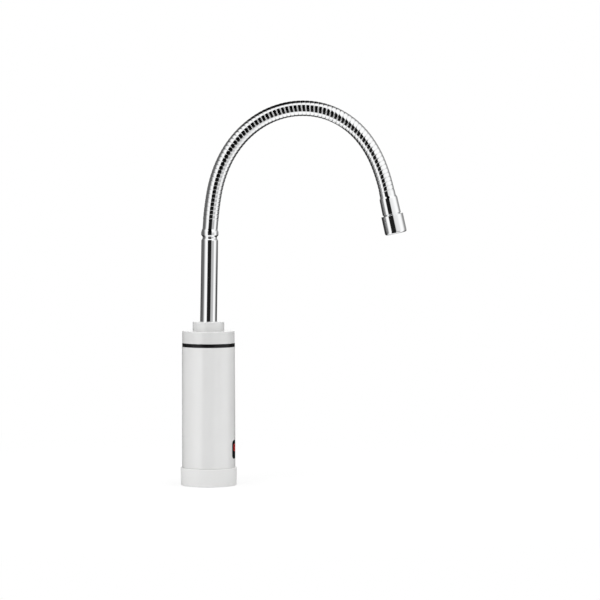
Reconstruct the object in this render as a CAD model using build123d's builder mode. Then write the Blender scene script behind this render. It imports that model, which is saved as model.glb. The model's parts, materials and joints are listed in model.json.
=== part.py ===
from build123d import *
import os
from math import cos, radians, sin

# Electric instant water heater tap: a round heater body with a side lever, a swivelling
# spout tube, a ribbed flexible neck and an aerator nozzle.
# Millimetres. Origin at the centre of the foot's underside, +Z up, +X towards the nozzle,
# +Y towards the lever.

# Body column
body_r = 30.0
shell_wall = 2.5
shell_inner_r = body_r - shell_wall
foot_height = 20.0
foot_bottom_r = 31.35
foot_top_r = 31.85
shell_top_z = 156.2
trim_height = 3.3
trim_r = 29.8
cap_height = 14.0
cap_bottom_r = 29.75
cap_top_r = 29.6
cap_wall = 2.4
cap_roof = 3.0
collar_r = 17.85
collar_height = 11.1
trim_top_z = shell_top_z + trim_height
cap_top_z = trim_top_z + cap_height
collar_top_z = cap_top_z + collar_height

# Foot, base plate and inlet
gasket_outer_r = 30.2
gasket_height = 1.6
foot_inner_r = 27.6
plate_bottom_z = 4.0
plate_thickness = 3.0
plate_top_z = plate_bottom_z + plate_thickness
web_thickness = 3.0
web_top_z = plate_top_z + web_thickness
web_hole_r = 16.5
spigot_r = 27.35
spigot_wall = 2.0
spigot_top_z = 28.0
screw_r = 1.5
screw_head_r = 2.9
base_screw_ring_r = 23.6
base_screw_top_z = 38.0
boss_r = 4.0
thread_r = 10.48
thread_length = 12.0
socket_r = 13.0
socket_flange_r = 15.5
socket_top_z = 18.0
waterway_r = 6.0
inlet_spigot_r = 8.0
inlet_spigot_top_z = 28.0
washer_r = 9.5
washer_thickness = 2.0
filter_r = 8.1
filter_thickness = 1.4
filter_hole_r = 0.85
nut_flats_r = 15.0
gland_x = -20.4
gland_bore_r = 3.2
gland_body_r = 4.4
gland_flange_r = 5.2
gland_barb_r = 4.7
gland_top_z = 14.0

# Display on the side below the spout
window_width = 24.5
window_height = 21.0
window_corner_r = 4.5
window_mid_z = 40.8
window_thickness = 2.0
window_lip = 1.0
window_gap = 0.1
window_cut_depth = 9.0
module_width = 22.8
module_height = 19.4
module_back_x = 19.4
module_board_thickness = 1.6
digits_width = 20.0
digits_height = 12.0
digits_depth = 4.2

# Valve and lever
hub_z = 62.0
valve_r = 12.0
valve_top_z = 76.0
valve_boss_r = 13.5
valve_boss_front_y = 22.0
valve_boss_back_y = -12.6
cartridge_r = 9.9
cartridge_seat_y = 6.5
disc_thickness = 2.4
disc_hole_r = 2.4
disc_hole_offset = 5.0
moving_disc_r = 8.1
cage_bore_r = 8.5
spindle_foot_r = 7.0
cartridge_shoulder_y = 24.0
cartridge_neck_r = 7.0
cartridge_end_y = 33.0
spindle_r = 4.0
running_gap = 0.05
spindle_end_y = 41.0
bonnet_r = 13.5
bonnet_front_y = 34.0
lever_hub_r = 13.5
lever_back_y = 34.4
lever_front_y = 46.0
lever_tip_z = 122.0
lever_root_width = 15.0
lever_tip_width = 10.0
lever_thickness = 6.5
handle_cap_r = 4.95
cap_pocket_depth = 3.0
handle_screw_head_r = 2.8
handle_screw_head_height = 1.6

# Flow switch opposite the lever
switch_r = 13.5
switch_end_y = -19.0
plunger_r = 2.0
plunger_head_r = 5.0
plunger_start_y = -14.7
plunger_end_y = -20.3
diaphragm_thickness = 1.0
microswitch_start_y = -21.6
microswitch_width = 5.8
microswitch_height = 12.8
microswitch_depth = 5.2

# Heating chamber
chamber_x = 4.0
chamber_r = 18.0
chamber_wall = 1.5
chamber_flange_r = 20.5
chamber_bottom_z = 86.0
chamber_top_z = 138.0
lid_top_z = 141.0
pipe_r = 5.0
pipe_bore_r = 3.5
element_r = 2.0
element_bottom_z = 92.0
element_top_z = 143.0
terminal_top_z = 146.6
terminal_screw_height = 1.4
cutout_y = -13.5
cutout_r = 5.0
cutout_height = 3.0
cutout_blade_height = 2.8

# Chassis and boards
chassis_x = -18.2
chassis_thickness = 2.0
chassis_half_width = 12.0
chassis_bottom_z = 32.0
chassis_top_z = 148.0
valve_clamp_z = 36.0
valve_clamp_height = 7.0
chamber_clamp_z = 130.0
chamber_clamp_height = 6.0
board_mid_z = 107.5
board_width = 23.0
board_height = 75.0
board_chip_height = 3.6
post_r = 1.8
post_y = 9.0
post_low_z = 74.0
post_high_z = 141.0
board_x = -21.2
board_thickness = 1.6

# Spout bearing
bush_r = 13.0
bush_bottom_z = 147.0
bush_bore_r = 9.35
bush_top_z = 178.0
bush_flange_r = 21.0
bush_flange_thickness = 3.5
bush_screw_ring_r = 17.5
clip_bottom_z = 172.0
shank_r = 9.3
shank_bottom_z = 151.0
groove_r = 8.5
ring_groove_width = 1.8
tube_bottom_z = 176.0

# Spout tube and the crimped sleeve on top of it
tube_r = 9.45
tube_wall = 1.0
tube_lean = 0.95
lean_bend_r = 200.0
lean_pivot_z = 180.0
tube_length_above_pivot = 98.8
rolled_end_length = 1.7
rolled_end_r = 8.35
bead_r = 9.75
sleeve_r = 8.65
bead_start = tube_length_above_pivot + rolled_end_length
bead_end = bead_start + 6.5
sleeve_kink = 3.5
sleeve_length = 11.2
bead_bore_r = 5.6
bead_liner_length = 12.0

# Flexible neck: ten lengths of seven ribs, each length bent by its own angle
rib_pitch = 4.663
ribs_per_link = 7
link_length = rib_pitch * ribs_per_link
link_bends = [5.8, 13.4, 16.1, 18.0, 20.3, 20.9, 22.3, 20.6, 16.0, 9.4]
rib_crest_r = 8.8
rib_valley_r = 8.0
rib_crest_share = 0.5
rib_foot_share = 1 - 2 * 0.5 / rib_pitch
hose_bore_r = 5.0
ball_r = 7.1
cup_r = 7.4
ball_reach = 3.5

# Nozzle, measured along its own axis from the end of the neck
ferrule_r = 8.75
ferrule_length = 7.2
cone_start_r = 9.15
cone_end_r = 10.15
cone_start = 7.8
cone_end = 26.2
housing_start = 28.4
housing_end = 49.0
housing_top_r = 12.3
housing_mouth_r = 12.0
nozzle_bore_r = 7.5
aerator_r = 10.6
aerator_depth = 11.0
aerator_recess = 1.2
aerator_hole_r = 0.8
aerator_hole_rings = [(2.4, 6), (4.8, 12), (7.2, 18)]

os.makedirs("parts", exist_ok=True)


def closed_profile(*points):
    """A straight-sided closed face through the points, where they lie on the open sketch."""
    Polygon(*points, align=None)


def lever_plane(y):
    """Plane square to the lever's axis at y, with its own y axis pointing up."""
    return Plane(origin=(0, y, hub_z), x_dir=(-1, 0, 0), z_dir=(0, 1, 0))


def radial_plane(x, z, heading):
    """Upright plane at a point of the spout: x is the radius, y runs along the heading."""
    across = (sin(radians(heading)), 0, -cos(radians(heading)))
    return Plane(origin=(x, 0, z), x_dir=across, z_dir=(0, -1, 0))


def heading_vector(heading):
    """Unit vector in the upright plane of the spout, 90 degrees being straight up."""
    return Vector(cos(radians(heading)), 0, sin(radians(heading)))


def heading_axis(x, z, heading):
    return Axis((x, 0, z), heading_vector(heading))


def point_ahead(x, z, heading, distance):
    return x + distance * cos(radians(heading)), z + distance * sin(radians(heading))


def along_link(start, bend, distance):
    """Place and heading at a distance along a neck length that bends evenly."""
    x, z, heading = start
    bend_r = link_length / radians(bend)
    turned = heading - bend * distance / link_length
    x = x + bend_r * (sin(radians(heading)) - sin(radians(turned)))
    z = z + bend_r * (cos(radians(turned)) - cos(radians(heading)))
    return x, z, turned


def cross_plane(place):
    """Plane square to the neck at a place, with a steady x axis."""
    x, z, heading = place
    return Plane(origin=(x, 0, z), x_dir=(0, 1, 0), z_dir=heading_vector(heading))


hub_axis = Axis((0, 0, hub_z), (0, 1, 0))
chamber_axis = Axis((chamber_x, 0, 0), (0, 0, 1))


# Foot: outer wall, inner web over the base plate and a spigot for the shell
with BuildPart() as foot_ring:
    with BuildSketch(Plane.XZ):
        closed_profile(
            (foot_bottom_r, 0),
            (foot_top_r, foot_height - 0.6),
            (foot_top_r - 0.6, foot_height),
            (spigot_r, foot_height),
            (spigot_r, spigot_top_z),
            (spigot_r - spigot_wall, spigot_top_z),
            (spigot_r - spigot_wall, web_top_z),
            (web_hole_r, web_top_z),
            (web_hole_r, plate_top_z),
            (foot_inner_r, plate_top_z),
            (foot_inner_r, gasket_height),
            (gasket_outer_r, gasket_height),
            (gasket_outer_r, 0),
        )
    revolve(axis=Axis.Z)
    with BuildSketch(Plane.XY.offset(plate_top_z)):
        with PolarLocations(base_screw_ring_r, 4, start_angle=45):
            Circle(screw_r + 0.2)
        with Locations((gland_x, 0)):
            Circle(gland_body_r + 0.1)
    extrude(amount=web_thickness, mode=Mode.SUBTRACT)
foot_ring.part.label = "foot_ring"
export_step(foot_ring.part, "parts/foot_ring.step")

with BuildPart() as foot_gasket:
    with BuildSketch():
        Circle(gasket_outer_r)
        Circle(foot_inner_r, mode=Mode.SUBTRACT)
    extrude(amount=gasket_height)
foot_gasket.part.label = "foot_gasket"
export_step(foot_gasket.part, "parts/foot_gasket.step")

with BuildPart() as base_plate:
    with BuildSketch(Plane.XY.offset(plate_bottom_z)):
        Circle(foot_inner_r - 0.1)
        Circle(socket_r + 0.1, mode=Mode.SUBTRACT)
        with Locations((gland_x, 0)):
            Circle(gland_body_r + 0.1, mode=Mode.SUBTRACT)
        with PolarLocations(base_screw_ring_r, 4, start_angle=45):
            Circle(screw_r + 0.2, mode=Mode.SUBTRACT)
    extrude(amount=plate_thickness)
    with BuildSketch(Plane.XY.offset(plate_bottom_z)):
        with PolarLocations(base_screw_ring_r, 4, start_angle=45):
            Circle(screw_head_r + 0.1)
    extrude(amount=1.5, taper=42, mode=Mode.SUBTRACT)
base_plate.part.label = "base_plate"
export_step(base_plate.part, "parts/base_plate.step")

with BuildPart() as base_screws:
    with BuildSketch(Plane.XY.offset(plate_bottom_z)):
        with PolarLocations(base_screw_ring_r, 4, start_angle=45):
            Circle(screw_r)
    extrude(amount=base_screw_top_z - plate_bottom_z)
    with BuildSketch(Plane.XY.offset(plate_bottom_z)):
        with PolarLocations(base_screw_ring_r, 4, start_angle=45):
            Circle(screw_head_r)
    extrude(amount=1.5, taper=42)
    with BuildSketch(Plane.XY.offset(plate_bottom_z)):
        with PolarLocations(base_screw_ring_r, 4, start_angle=45):
            Rectangle(3.2, 0.7)
            Rectangle(0.7, 3.2)
    extrude(amount=0.8, mode=Mode.SUBTRACT)
base_screws.part.label = "base_screws"
export_step(base_screws.part, "parts/base_screws.step")


# Inlet: a threaded brass socket that also takes the fixing shank
with BuildPart() as inlet_socket:
    with BuildSketch(Plane.XZ):
        closed_profile(
            (thread_r, 0),
            (socket_r, 0),
            (socket_r, plate_top_z),
            (socket_flange_r, plate_top_z),
            (socket_flange_r, web_top_z),
            (socket_r, web_top_z),
            (socket_r, socket_top_z),
            (inlet_spigot_r, socket_top_z),
            (inlet_spigot_r, inlet_spigot_top_z),
            (waterway_r, inlet_spigot_top_z),
            (waterway_r, thread_length + washer_thickness + filter_thickness),
            (filter_r, thread_length + washer_thickness + filter_thickness),
            (filter_r, thread_length + washer_thickness),
            (washer_r, thread_length + washer_thickness),
            (washer_r, thread_length),
            (thread_r, thread_length),
        )
    revolve(axis=Axis.Z)
inlet_socket.part.label = "inlet_socket"
export_step(inlet_socket.part, "parts/inlet_socket.step")

with BuildPart() as socket_nut:
    with BuildSketch(Plane.XY.offset(plate_bottom_z - 3)):
        RegularPolygon(nut_flats_r, 6, major_radius=False, rotation=30)
        Circle(socket_r, mode=Mode.SUBTRACT)
    extrude(amount=3)
socket_nut.part.label = "socket_nut"
export_step(socket_nut.part, "parts/socket_nut.step")

with BuildPart() as inlet_washer:
    with BuildSketch(Plane.XY.offset(thread_length)):
        Circle(washer_r)
        Circle(waterway_r, mode=Mode.SUBTRACT)
    extrude(amount=washer_thickness)
inlet_washer.part.label = "inlet_washer"
export_step(inlet_washer.part, "parts/inlet_washer.step")

with BuildPart() as inlet_filter:
    with BuildSketch(Plane.XY.offset(thread_length + washer_thickness)):
        Circle(filter_r - 0.05)
        with Locations((0, 0)):
            Circle(filter_hole_r, mode=Mode.SUBTRACT)
        with PolarLocations(2.4, 6):
            Circle(filter_hole_r, mode=Mode.SUBTRACT)
        with PolarLocations(4.8, 12):
            Circle(filter_hole_r, mode=Mode.SUBTRACT)
    extrude(amount=filter_thickness)
inlet_filter.part.label = "inlet_filter"
export_step(inlet_filter.part, "parts/inlet_filter.step")

with BuildPart() as cable_gland:
    with BuildSketch(Plane.XZ):
        closed_profile(
            (gland_x + gland_bore_r, 1.6),
            (gland_x + gland_flange_r, 1.6),
            (gland_x + gland_flange_r, plate_bottom_z),
            (gland_x + gland_body_r, plate_bottom_z),
            (gland_x + gland_body_r, web_top_z),
            (gland_x + gland_barb_r, web_top_z),
            (gland_x + gland_body_r, gland_top_z),
            (gland_x + gland_bore_r, gland_top_z),
        )
    revolve(axis=Axis((gland_x, 0, 0), (0, 0, 1)))
cable_gland.part.label = "cable_gland"
export_step(cable_gland.part, "parts/cable_gland.step")


# Body shell with screw bosses, the window recess and the lever's opening
window_plane = Plane(origin=(0, 0, window_mid_z), x_dir=(0, 1, 0), z_dir=(1, 0, 0))
recess_r = body_r - window_thickness
with BuildPart() as body_shell:
    with BuildSketch(Plane.XY.offset(foot_height)):
        Circle(body_r)
        Circle(shell_inner_r, mode=Mode.SUBTRACT)
    extrude(amount=shell_top_z - foot_height)
    with BuildSketch(Plane.XY.offset(spigot_top_z + 0.2)):
        with PolarLocations(base_screw_ring_r, 4, start_angle=45):
            Circle(boss_r)
        with PolarLocations(base_screw_ring_r + 2.6, 4, start_angle=45):
            Rectangle(5.2, 6)
        with PolarLocations(base_screw_ring_r, 4, start_angle=45):
            Circle(screw_r, mode=Mode.SUBTRACT)
    extrude(amount=12)
    for side in (-1, 1):
        with BuildSketch(Plane.XY.offset(window_mid_z - 10)):
            with Locations((22, side * 12.4)):
                Rectangle(6, 1.6)
        extrude(amount=20)
    with BuildSketch(window_plane.offset(recess_r - window_cut_depth)):
        RectangleRounded(
            window_width - 2 * window_lip,
            window_height - 2 * window_lip,
            window_corner_r - window_lip,
        )
    extrude(amount=20, mode=Mode.SUBTRACT)
    with BuildSketch(lever_plane(20)):
        Circle(11)
    extrude(amount=20, mode=Mode.SUBTRACT)
with BuildPart() as window_cutter:
    with BuildSketch(window_plane.offset(recess_r - window_cut_depth)):
        RectangleRounded(
            window_width + 2 * window_gap, window_height + 2 * window_gap, window_corner_r + window_gap
        )
    extrude(amount=20)
    with BuildSketch(Plane.XY.offset(foot_height)):
        Circle(recess_r)
    extrude(amount=60, mode=Mode.SUBTRACT)
with body_shell:
    add(window_cutter.part, mode=Mode.SUBTRACT)
body_shell.part.label = "body_shell"
export_step(body_shell.part, "parts/body_shell.step")

with BuildPart() as display_window:
    with BuildSketch(window_plane.offset(recess_r - window_cut_depth)):
        RectangleRounded(window_width, window_height, window_corner_r)
    extrude(amount=20)
    with BuildSketch(Plane.XY.offset(foot_height)):
        Circle(body_r)
    extrude(amount=60, mode=Mode.INTERSECT)
    with BuildSketch(Plane.XY.offset(foot_height)):
        Circle(recess_r)
    extrude(amount=60, mode=Mode.SUBTRACT)
display_window.part.label = "display_window"
export_step(display_window.part, "parts/display_window.step")

with BuildPart() as display_module:
    with BuildSketch(Plane.YZ.offset(module_back_x)):
        with Locations((0, window_mid_z)):
            Rectangle(module_width, module_height)
    extrude(amount=module_board_thickness)
    with BuildSketch(Plane.YZ.offset(module_back_x + module_board_thickness)):
        with Locations((0, window_mid_z + 1)):
            Rectangle(digits_width, digits_height)
    extrude(amount=digits_depth)
display_module.part.label = "display_module"
export_step(display_module.part, "parts/display_module.step")


# Valve: brass body with the cartridge towards the lever and the flow switch opposite
with BuildPart() as valve_body:
    with BuildSketch(Plane.XY.offset(socket_top_z)):
        Circle(valve_r)
    extrude(amount=valve_top_z - socket_top_z)
    with BuildSketch(lever_plane(valve_boss_back_y)):
        Circle(valve_boss_r)
    extrude(amount=valve_boss_front_y - valve_boss_back_y)
    with BuildSketch(Plane.XY.offset(socket_top_z)):
        Circle(inlet_spigot_r + running_gap)
    extrude(amount=inlet_spigot_top_z - socket_top_z, mode=Mode.SUBTRACT)
    with BuildSketch(Plane.XY.offset(inlet_spigot_top_z)):
        Circle(5)
    extrude(amount=hub_z - 4 - inlet_spigot_top_z, mode=Mode.SUBTRACT)
    with BuildSketch(lever_plane(cartridge_seat_y)):
        Circle(cartridge_r + running_gap)
    extrude(amount=30, mode=Mode.SUBTRACT)
    with BuildSketch(lever_plane(0)):
        with Locations((0, -disc_hole_offset), (0, disc_hole_offset)):
            Circle(disc_hole_r)
    extrude(amount=cartridge_seat_y, mode=Mode.SUBTRACT)
    with BuildSketch(Plane.XY.offset(hub_z + 1.5)):
        Circle(pipe_bore_r)
    extrude(amount=20, mode=Mode.SUBTRACT)
    with BuildSketch(Plane.XY.offset(valve_top_z - 2)):
        Circle(pipe_r)
    extrude(amount=2, mode=Mode.SUBTRACT)
    with BuildSketch(lever_plane(valve_boss_back_y)):
        Circle(10)
    extrude(amount=2.5, mode=Mode.SUBTRACT)
    with BuildSketch(lever_plane(valve_boss_back_y)):
        with Locations((0, disc_hole_offset)):
            Circle(1.2)
    extrude(amount=-valve_boss_back_y, mode=Mode.SUBTRACT)
valve_body.part.label = "valve_body"
export_step(valve_body.part, "parts/valve_body.step")

fixed_disc_end_y = cartridge_seat_y + disc_thickness
moving_disc_start_y = fixed_disc_end_y + running_gap
moving_disc_end_y = moving_disc_start_y + disc_thickness
with BuildPart() as valve_fixed_disc:
    with BuildSketch(lever_plane(cartridge_seat_y)):
        Circle(cartridge_r - 0.3)
        with Locations((0, -disc_hole_offset), (0, disc_hole_offset)):
            Circle(disc_hole_r, mode=Mode.SUBTRACT)
    extrude(amount=disc_thickness)
valve_fixed_disc.part.label = "valve_fixed_disc"
export_step(valve_fixed_disc.part, "parts/valve_fixed_disc.step")

with BuildPart() as valve_moving_disc:
    with BuildSketch(lever_plane(moving_disc_start_y)):
        Circle(moving_disc_r)
        with Locations((-disc_hole_offset, 0), (disc_hole_offset, 0)):
            Circle(disc_hole_r, mode=Mode.SUBTRACT)
    extrude(amount=disc_thickness)
valve_moving_disc.part.label = "valve_moving_disc"
export_step(valve_moving_disc.part, "parts/valve_moving_disc.step")

cage_end_y = moving_disc_end_y + 1.2
with BuildPart() as valve_cartridge:
    with BuildSketch(Plane.YZ):
        closed_profile(
            (fixed_disc_end_y, hub_z + cage_bore_r),
            (fixed_disc_end_y, hub_z + cartridge_r),
            (cartridge_shoulder_y, hub_z + cartridge_r),
            (cartridge_shoulder_y, hub_z + cartridge_neck_r),
            (cartridge_end_y, hub_z + cartridge_neck_r),
            (cartridge_end_y, hub_z + spindle_r + running_gap),
            (cage_end_y, hub_z + spindle_r + running_gap),
            (cage_end_y, hub_z + cage_bore_r),
        )
    revolve(axis=hub_axis)
valve_cartridge.part.label = "valve_cartridge"
export_step(valve_cartridge.part, "parts/valve_cartridge.step")

with BuildPart() as valve_spindle:
    with BuildSketch(Plane.YZ):
        closed_profile(
            (moving_disc_end_y, hub_z),
            (moving_disc_end_y, hub_z + spindle_foot_r),
            (cage_end_y - 0.2, hub_z + spindle_foot_r),
            (cage_end_y - 0.2, hub_z + spindle_r),
            (spindle_end_y, hub_z + spindle_r),
            (spindle_end_y, hub_z + screw_r),
            (spindle_end_y - 9, hub_z + screw_r),
            (spindle_end_y - 9, hub_z),
        )
    revolve(axis=hub_axis)
valve_spindle.part.label = "valve_spindle"
export_step(valve_spindle.part, "parts/valve_spindle.step")

with BuildPart() as handle_bonnet:
    with BuildSketch(lever_plane(cartridge_shoulder_y)):
        Circle(bonnet_r)
    extrude(amount=bonnet_front_y - cartridge_shoulder_y)
    fillet(handle_bonnet.faces().sort_by(Axis.Y)[-1].edges(), 1.2)
    with BuildSketch(Plane.XY.offset(hub_z - 30)):
        Circle(body_r + 0.05)
    extrude(amount=60, mode=Mode.SUBTRACT)
    with BuildSketch(lever_plane(cartridge_shoulder_y)):
        Circle(10.8)
    extrude(amount=bonnet_front_y - cartridge_shoulder_y - 2)
    with BuildSketch(lever_plane(cartridge_shoulder_y)):
        Circle(cartridge_neck_r + running_gap)
    extrude(amount=20, mode=Mode.SUBTRACT)
handle_bonnet.part.label = "handle_bonnet"
export_step(handle_bonnet.part, "parts/handle_bonnet.step")

with BuildPart() as handle_lever:
    with BuildSketch(lever_plane(lever_front_y - lever_thickness)):
        with BuildLine():
            Polyline(
                (-lever_root_width / 2, 0),
                (lever_root_width / 2, 0),
                (lever_tip_width / 2, lever_tip_z - hub_z - lever_tip_width / 2),
            )
            RadiusArc(
                (lever_tip_width / 2, lever_tip_z - hub_z - lever_tip_width / 2),
                (-lever_tip_width / 2, lever_tip_z - hub_z - lever_tip_width / 2),
                -lever_tip_width / 2,
            )
            Line(
                (-lever_tip_width / 2, lever_tip_z - hub_z - lever_tip_width / 2),
                (-lever_root_width / 2, 0),
            )
        make_face()
    extrude(amount=lever_thickness)
    fillet(handle_lever.edges().filter_by(GeomType.CIRCLE), 2)
    with BuildSketch(lever_plane(lever_back_y)):
        Circle(lever_hub_r)
    extrude(amount=lever_front_y - lever_back_y)
    with BuildSketch(lever_plane(lever_back_y)):
        Circle(spindle_r)
    extrude(amount=spindle_end_y + 0.2 - lever_back_y, mode=Mode.SUBTRACT)
    with BuildSketch(lever_plane(lever_back_y)):
        Circle(screw_r + 0.1)
    extrude(amount=20, mode=Mode.SUBTRACT)
    with BuildSketch(lever_plane(lever_front_y - cap_pocket_depth)):
        Circle(handle_cap_r + running_gap)
    extrude(amount=cap_pocket_depth, mode=Mode.SUBTRACT)
handle_lever.part.label = "handle_lever"
export_step(handle_lever.part, "parts/handle_lever.step")

handle_screw_end_y = lever_front_y - cap_pocket_depth + handle_screw_head_height
with BuildPart() as handle_screw:
    with BuildSketch(Plane.YZ):
        closed_profile(
            (spindle_end_y - 8, hub_z),
            (spindle_end_y - 8, hub_z + screw_r),
            (lever_front_y - cap_pocket_depth, hub_z + screw_r),
            (lever_front_y - cap_pocket_depth, hub_z + handle_screw_head_r),
            (handle_screw_end_y, hub_z + handle_screw_head_r),
            (handle_screw_end_y, hub_z),
        )
    revolve(axis=hub_axis)
handle_screw.part.label = "handle_screw"
export_step(handle_screw.part, "parts/handle_screw.step")

with BuildPart() as handle_cap:
    with BuildSketch(lever_plane(lever_front_y - 1.2)):
        Circle(handle_cap_r)
    extrude(amount=1.5)
    fillet(handle_cap.faces().sort_by(Axis.Y)[-1].edges(), 0.4)
handle_cap.part.label = "handle_cap"
export_step(handle_cap.part, "parts/handle_cap.step")


# Flow switch: the diaphragm pushes a plunger onto a small switch
with BuildPart() as flow_diaphragm:
    with BuildSketch(lever_plane(valve_boss_back_y - diaphragm_thickness)):
        Circle(switch_r)
    extrude(amount=diaphragm_thickness)
    with BuildSketch(lever_plane(plunger_start_y + 0.2)):
        Circle(4.5)
    extrude(amount=valve_boss_back_y - diaphragm_thickness - plunger_start_y - 0.2)
flow_diaphragm.part.label = "flow_diaphragm"
export_step(flow_diaphragm.part, "parts/flow_diaphragm.step")

with BuildPart() as flow_switch_cover:
    with BuildSketch(lever_plane(switch_end_y)):
        Circle(switch_r)
    extrude(amount=valve_boss_back_y - diaphragm_thickness - switch_end_y)
    fillet(flow_switch_cover.faces().sort_by(Axis.Y)[0].edges(), 1)
    with BuildSketch(lever_plane(switch_end_y + 1.5)):
        Circle(10)
    extrude(amount=20, mode=Mode.SUBTRACT)
    with BuildSketch(lever_plane(switch_end_y)):
        Circle(plunger_r + running_gap)
    extrude(amount=5, mode=Mode.SUBTRACT)
flow_switch_cover.part.label = "flow_switch_cover"
export_step(flow_switch_cover.part, "parts/flow_switch_cover.step")

with BuildPart() as switch_plunger:
    with BuildSketch(lever_plane(plunger_end_y)):
        Circle(plunger_r)
    extrude(amount=plunger_start_y - plunger_end_y)
    with BuildSketch(lever_plane(plunger_start_y - 1)):
        Circle(plunger_head_r)
    extrude(amount=1)
switch_plunger.part.label = "switch_plunger"
export_step(switch_plunger.part, "parts/switch_plunger.step")

with BuildPart() as microswitch:
    with BuildSketch(lever_plane(microswitch_start_y - microswitch_depth)):
        Rectangle(microswitch_width, microswitch_height)
    extrude(amount=microswitch_depth)
    blade_y = microswitch_start_y - microswitch_depth / 2
    with BuildSketch(Plane.XY.offset(hub_z + microswitch_height / 2)):
        with Locations((-1.5, blade_y), (1.5, blade_y)):
            Rectangle(0.6, 2.8)
    extrude(amount=4)
microswitch.part.label = "microswitch"
export_step(microswitch.part, "parts/microswitch.step")


# Heating chamber with its lid, seal and hairpin elements
with BuildPart() as feed_pipe:
    with BuildSketch(Plane.XY.offset(valve_top_z - 2)):
        Circle(pipe_r)
        Circle(pipe_bore_r, mode=Mode.SUBTRACT)
    extrude(amount=chamber_bottom_z + 3 - valve_top_z)
feed_pipe.part.label = "feed_pipe"
export_step(feed_pipe.part, "parts/feed_pipe.step")

with BuildPart() as heating_chamber:
    with BuildSketch(Plane.XZ):
        closed_profile(
            (chamber_x, chamber_bottom_z),
            (chamber_x + chamber_r, chamber_bottom_z),
            (chamber_x + chamber_r, chamber_top_z - 2),
            (chamber_x + chamber_flange_r, chamber_top_z - 2),
            (chamber_x + chamber_flange_r, chamber_top_z),
            (chamber_x + chamber_r - chamber_wall, chamber_top_z),
            (chamber_x + chamber_r - chamber_wall, chamber_bottom_z + 2),
            (chamber_x, chamber_bottom_z + 2),
        )
    revolve(axis=chamber_axis)
    with BuildSketch(Plane.XY.offset(chamber_bottom_z)):
        Circle(pipe_r)
    extrude(amount=2, mode=Mode.SUBTRACT)
heating_chamber.part.label = "heating_chamber"
export_step(heating_chamber.part, "parts/heating_chamber.step")

lid_spigot_r = chamber_r - chamber_wall - 0.05
seal_wire_r = 0.75
seal_z = chamber_top_z - 2
hairpins = [(9.0, 10.0), (14.5, 5.0)]
leg_places = [(x, side * reach) for x, reach in hairpins for side in (-1, 1)]
with BuildPart() as chamber_lid:
    with BuildSketch(Plane.XZ):
        closed_profile(
            (chamber_x, chamber_top_z - 4),
            (chamber_x + lid_spigot_r, chamber_top_z - 4),
            (chamber_x + lid_spigot_r, seal_z - 0.9),
            (chamber_x + lid_spigot_r - 1.6, seal_z - 0.9),
            (chamber_x + lid_spigot_r - 1.6, seal_z + 0.9),
            (chamber_x + lid_spigot_r, seal_z + 0.9),
            (chamber_x + lid_spigot_r, chamber_top_z),
            (chamber_x + chamber_flange_r, chamber_top_z),
            (chamber_x + chamber_flange_r, lid_top_z),
            (chamber_x, lid_top_z),
        )
    revolve(axis=chamber_axis)
    with BuildSketch(Plane.XY.offset(chamber_top_z - 4)):
        Circle(pipe_r)
        with Locations(*leg_places):
            Circle(element_r + running_gap)
    extrude(amount=10, mode=Mode.SUBTRACT)
chamber_lid.part.label = "chamber_lid"
export_step(chamber_lid.part, "parts/chamber_lid.step")

with BuildPart() as chamber_seal:
    with Locations((chamber_x, 0, seal_z)):
        Torus(lid_spigot_r - seal_wire_r, seal_wire_r)
chamber_seal.part.label = "chamber_seal"
export_step(chamber_seal.part, "parts/chamber_seal.step")

with BuildPart() as heating_element:
    for x, reach in hairpins:
        bend_z = element_bottom_z + element_r + reach
        with BuildLine(Plane.YZ.offset(x)) as hairpin:
            Line((-reach, element_top_z), (-reach, bend_z))
            RadiusArc((-reach, bend_z), (reach, bend_z), -reach)
            Line((reach, bend_z), (reach, element_top_z))
        with BuildSketch(Plane(origin=(x, -reach, element_top_z), z_dir=(0, 0, -1))):
            Circle(element_r)
        sweep(path=hairpin.wires()[0])
heating_element.part.label = "heating_element"
export_step(heating_element.part, "parts/heating_element.step")

with BuildPart() as element_terminals:
    with BuildSketch(Plane.XY.offset(element_top_z)):
        with Locations(*leg_places):
            Circle(1.2)
    extrude(amount=terminal_top_z - element_top_z - terminal_screw_height)
    with BuildSketch(Plane.XY.offset(terminal_top_z - terminal_screw_height)):
        with Locations(*leg_places):
            Circle(1.9)
    extrude(amount=terminal_screw_height)
element_terminals.part.label = "element_terminals"
export_step(element_terminals.part, "parts/element_terminals.step")

with BuildPart() as thermal_cutout:
    with BuildSketch(Plane.XY.offset(lid_top_z)):
        with Locations((0, cutout_y)):
            Circle(cutout_r)
    extrude(amount=cutout_height)
    with BuildSketch(Plane.XY.offset(lid_top_z + cutout_height)):
        with Locations((-2.6, cutout_y), (2.6, cutout_y)):
            Rectangle(0.8, 4)
    extrude(amount=cutout_blade_height)
thermal_cutout.part.label = "thermal_cutout"
export_step(thermal_cutout.part, "parts/thermal_cutout.step")

with BuildPart() as outlet_pipe:
    with BuildSketch(Plane.XY.offset(chamber_top_z - 4)):
        Circle(pipe_r)
        Circle(pipe_bore_r, mode=Mode.SUBTRACT)
    extrude(amount=bush_bottom_z + 3 - chamber_top_z + 4)
outlet_pipe.part.label = "outlet_pipe"
export_step(outlet_pipe.part, "parts/outlet_pipe.step")


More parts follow.
